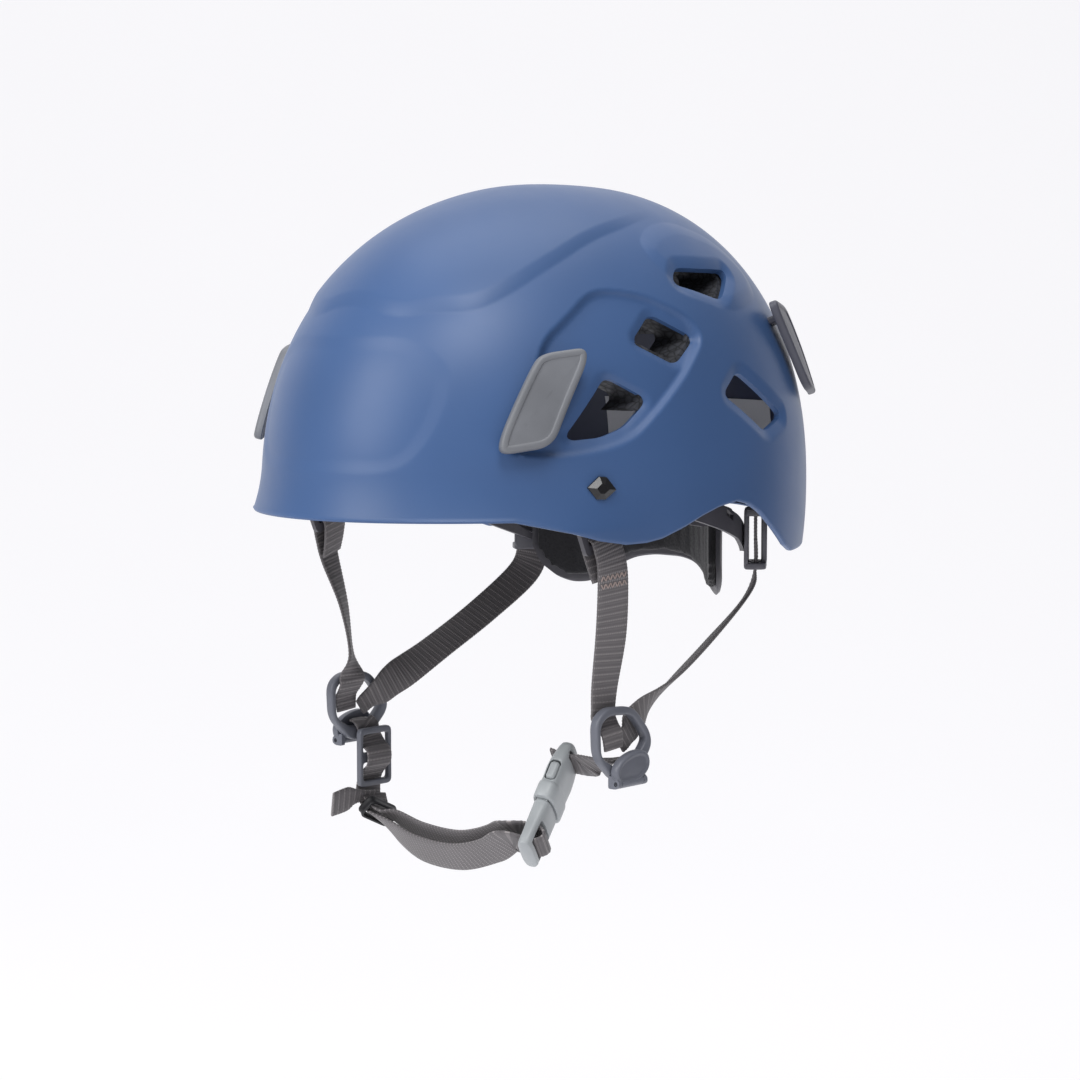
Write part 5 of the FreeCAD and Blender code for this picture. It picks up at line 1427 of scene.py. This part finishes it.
# ------------------------------------------------------------------ camera, light and floor
AZIMUTH, ELEVATION = math.radians(42.0), math.radians(5.0)
TARGET = Vector((0.0, 0.014, -0.010))
DISTANCE, LENS, SENSOR, SHIFT = 1.30, 95.8, 36.0, (-0.0193, -0.0191)
right = Vector((math.cos(AZIMUTH), math.sin(AZIMUTH), 0.0))
back = Vector((math.sin(AZIMUTH) * math.cos(ELEVATION), -math.cos(AZIMUTH) * math.cos(ELEVATION),
               math.sin(ELEVATION)))
up = back.cross(right)
camera_data = bpy.data.cameras.new("camera")
camera_data.sensor_width = SENSOR
camera_data.lens = LENS
camera_data.shift_x, camera_data.shift_y = SHIFT
camera_data.clip_end = 50.0
camera = linked("camera", camera_data)
eye = TARGET + back * DISTANCE
camera.matrix_world = Matrix(((right.x, up.x, back.x, eye.x), (right.y, up.y, back.y, eye.y),
                              (right.z, up.z, back.z, eye.z), (0, 0, 0, 1)))
bpy.context.scene.camera = camera


def soft_light(name, position, aim, width, height, power, colour=(1, 1, 1)):
    data = bpy.data.lights.new(name, "AREA")
    data.shape = "RECTANGLE"
    data.size = width
    data.size_y = height
    data.energy = power
    data.color = colour
    obj = linked(name, data)
    obj.location = position
    direction = Vector(aim) - Vector(position)
    obj.rotation_euler = direction.to_track_quat("-Z", "Y").to_euler()


soft_light("key", TARGET + back * 1.5 - right * 1.5 + up * 1.0, TARGET, 1.1, 1.6, 26.0)
soft_light("brow", TARGET + back * 1.3 + right * 0.1 + up * 1.6, TARGET, 0.8, 0.8, 16.0)
soft_light("top", TARGET - back * 0.2 + up * 1.9, TARGET, 1.6, 1.2, 12.0)

world = bpy.data.worlds.new("studio")
world.use_nodes = True
background = world.node_tree.nodes["Background"]
background.inputs[0].default_value = (0.93, 0.925, 0.945, 1.0)
background.inputs[1].default_value = 0.30
bpy.context.scene.world = world
bpy.context.scene.view_settings.view_transform = "Standard"

# a dark card beside the object, out of sight, keeps its shadow side deep
CARD_DARK, CARD_PALE = (0.09, 0.09, 0.09), (0.11, 0.11, 0.11)
card_look = Graph("studio_card")
card_cloud = card_look.noise(card_look.place(scale=20.0), 1.0)
card_look.set(Base_Color=card_look.mix(card_cloud, CARD_DARK, CARD_PALE),
              Roughness=0.9)
corner = TARGET + right * 0.62 - back * 0.35 - up * 0.30
card_mesh = bpy.data.meshes.new("card")
far_corner = corner + back * 1.3 + right * 0.45
card_mesh.from_pydata([corner, far_corner, far_corner + up, corner + up], [], [(0, 1, 2, 3)])
card_mesh.materials.append(card_look.material)
card = linked("card", card_mesh)
card.visible_camera = False

# one pale sweep is both floor and backdrop
sweep_look = Graph("studio_sweep")
sweep_place = sweep_look.place(scale=3.0)
paper = sweep_look.mix(sweep_look.noise(sweep_place, 1.0, 3.0), (0.30, 0.298, 0.306),
                       (0.32, 0.318, 0.326))
sweep_look.set(Base_Color=paper, Roughness=1.0, Specular_IOR_Level=0.0)
sweep_look.set(Emission_Color=(0.92, 0.915, 0.937), Emission_Strength=0.78)
FLOOR, NEAR, FAR, CURVE, HEIGHT = -0.42, 3.0, -2.6, 1.6, 3.6
bend = [(FAR + CURVE - CURVE * math.sin(t), FLOOR + CURVE - CURVE * math.cos(t))
        for t in np.linspace(0.0, math.pi / 2, 24)]
profile = [(NEAR, FLOOR)] + bend + [(FAR, HEIGHT)]
level_back = Vector((back.x, back.y, 0.0)).normalized()
sweep_points = []
for reach, height in profile:
    for across in (-5.0, 5.0):
        spot = level_back * reach + right * across
        sweep_points.append((spot.x, spot.y, height))
sweep_mesh = bpy.data.meshes.new("sweep")
sweep_mesh.from_pydata(sweep_points, [], [(2 * i, 2 * i + 1, 2 * i + 3, 2 * i + 2)
                                          for i in range(len(profile) - 1)])
sweep_mesh.materials.append(sweep_look.material)
sweep_mesh.shade_smooth()
sweep = linked("sweep", sweep_mesh)
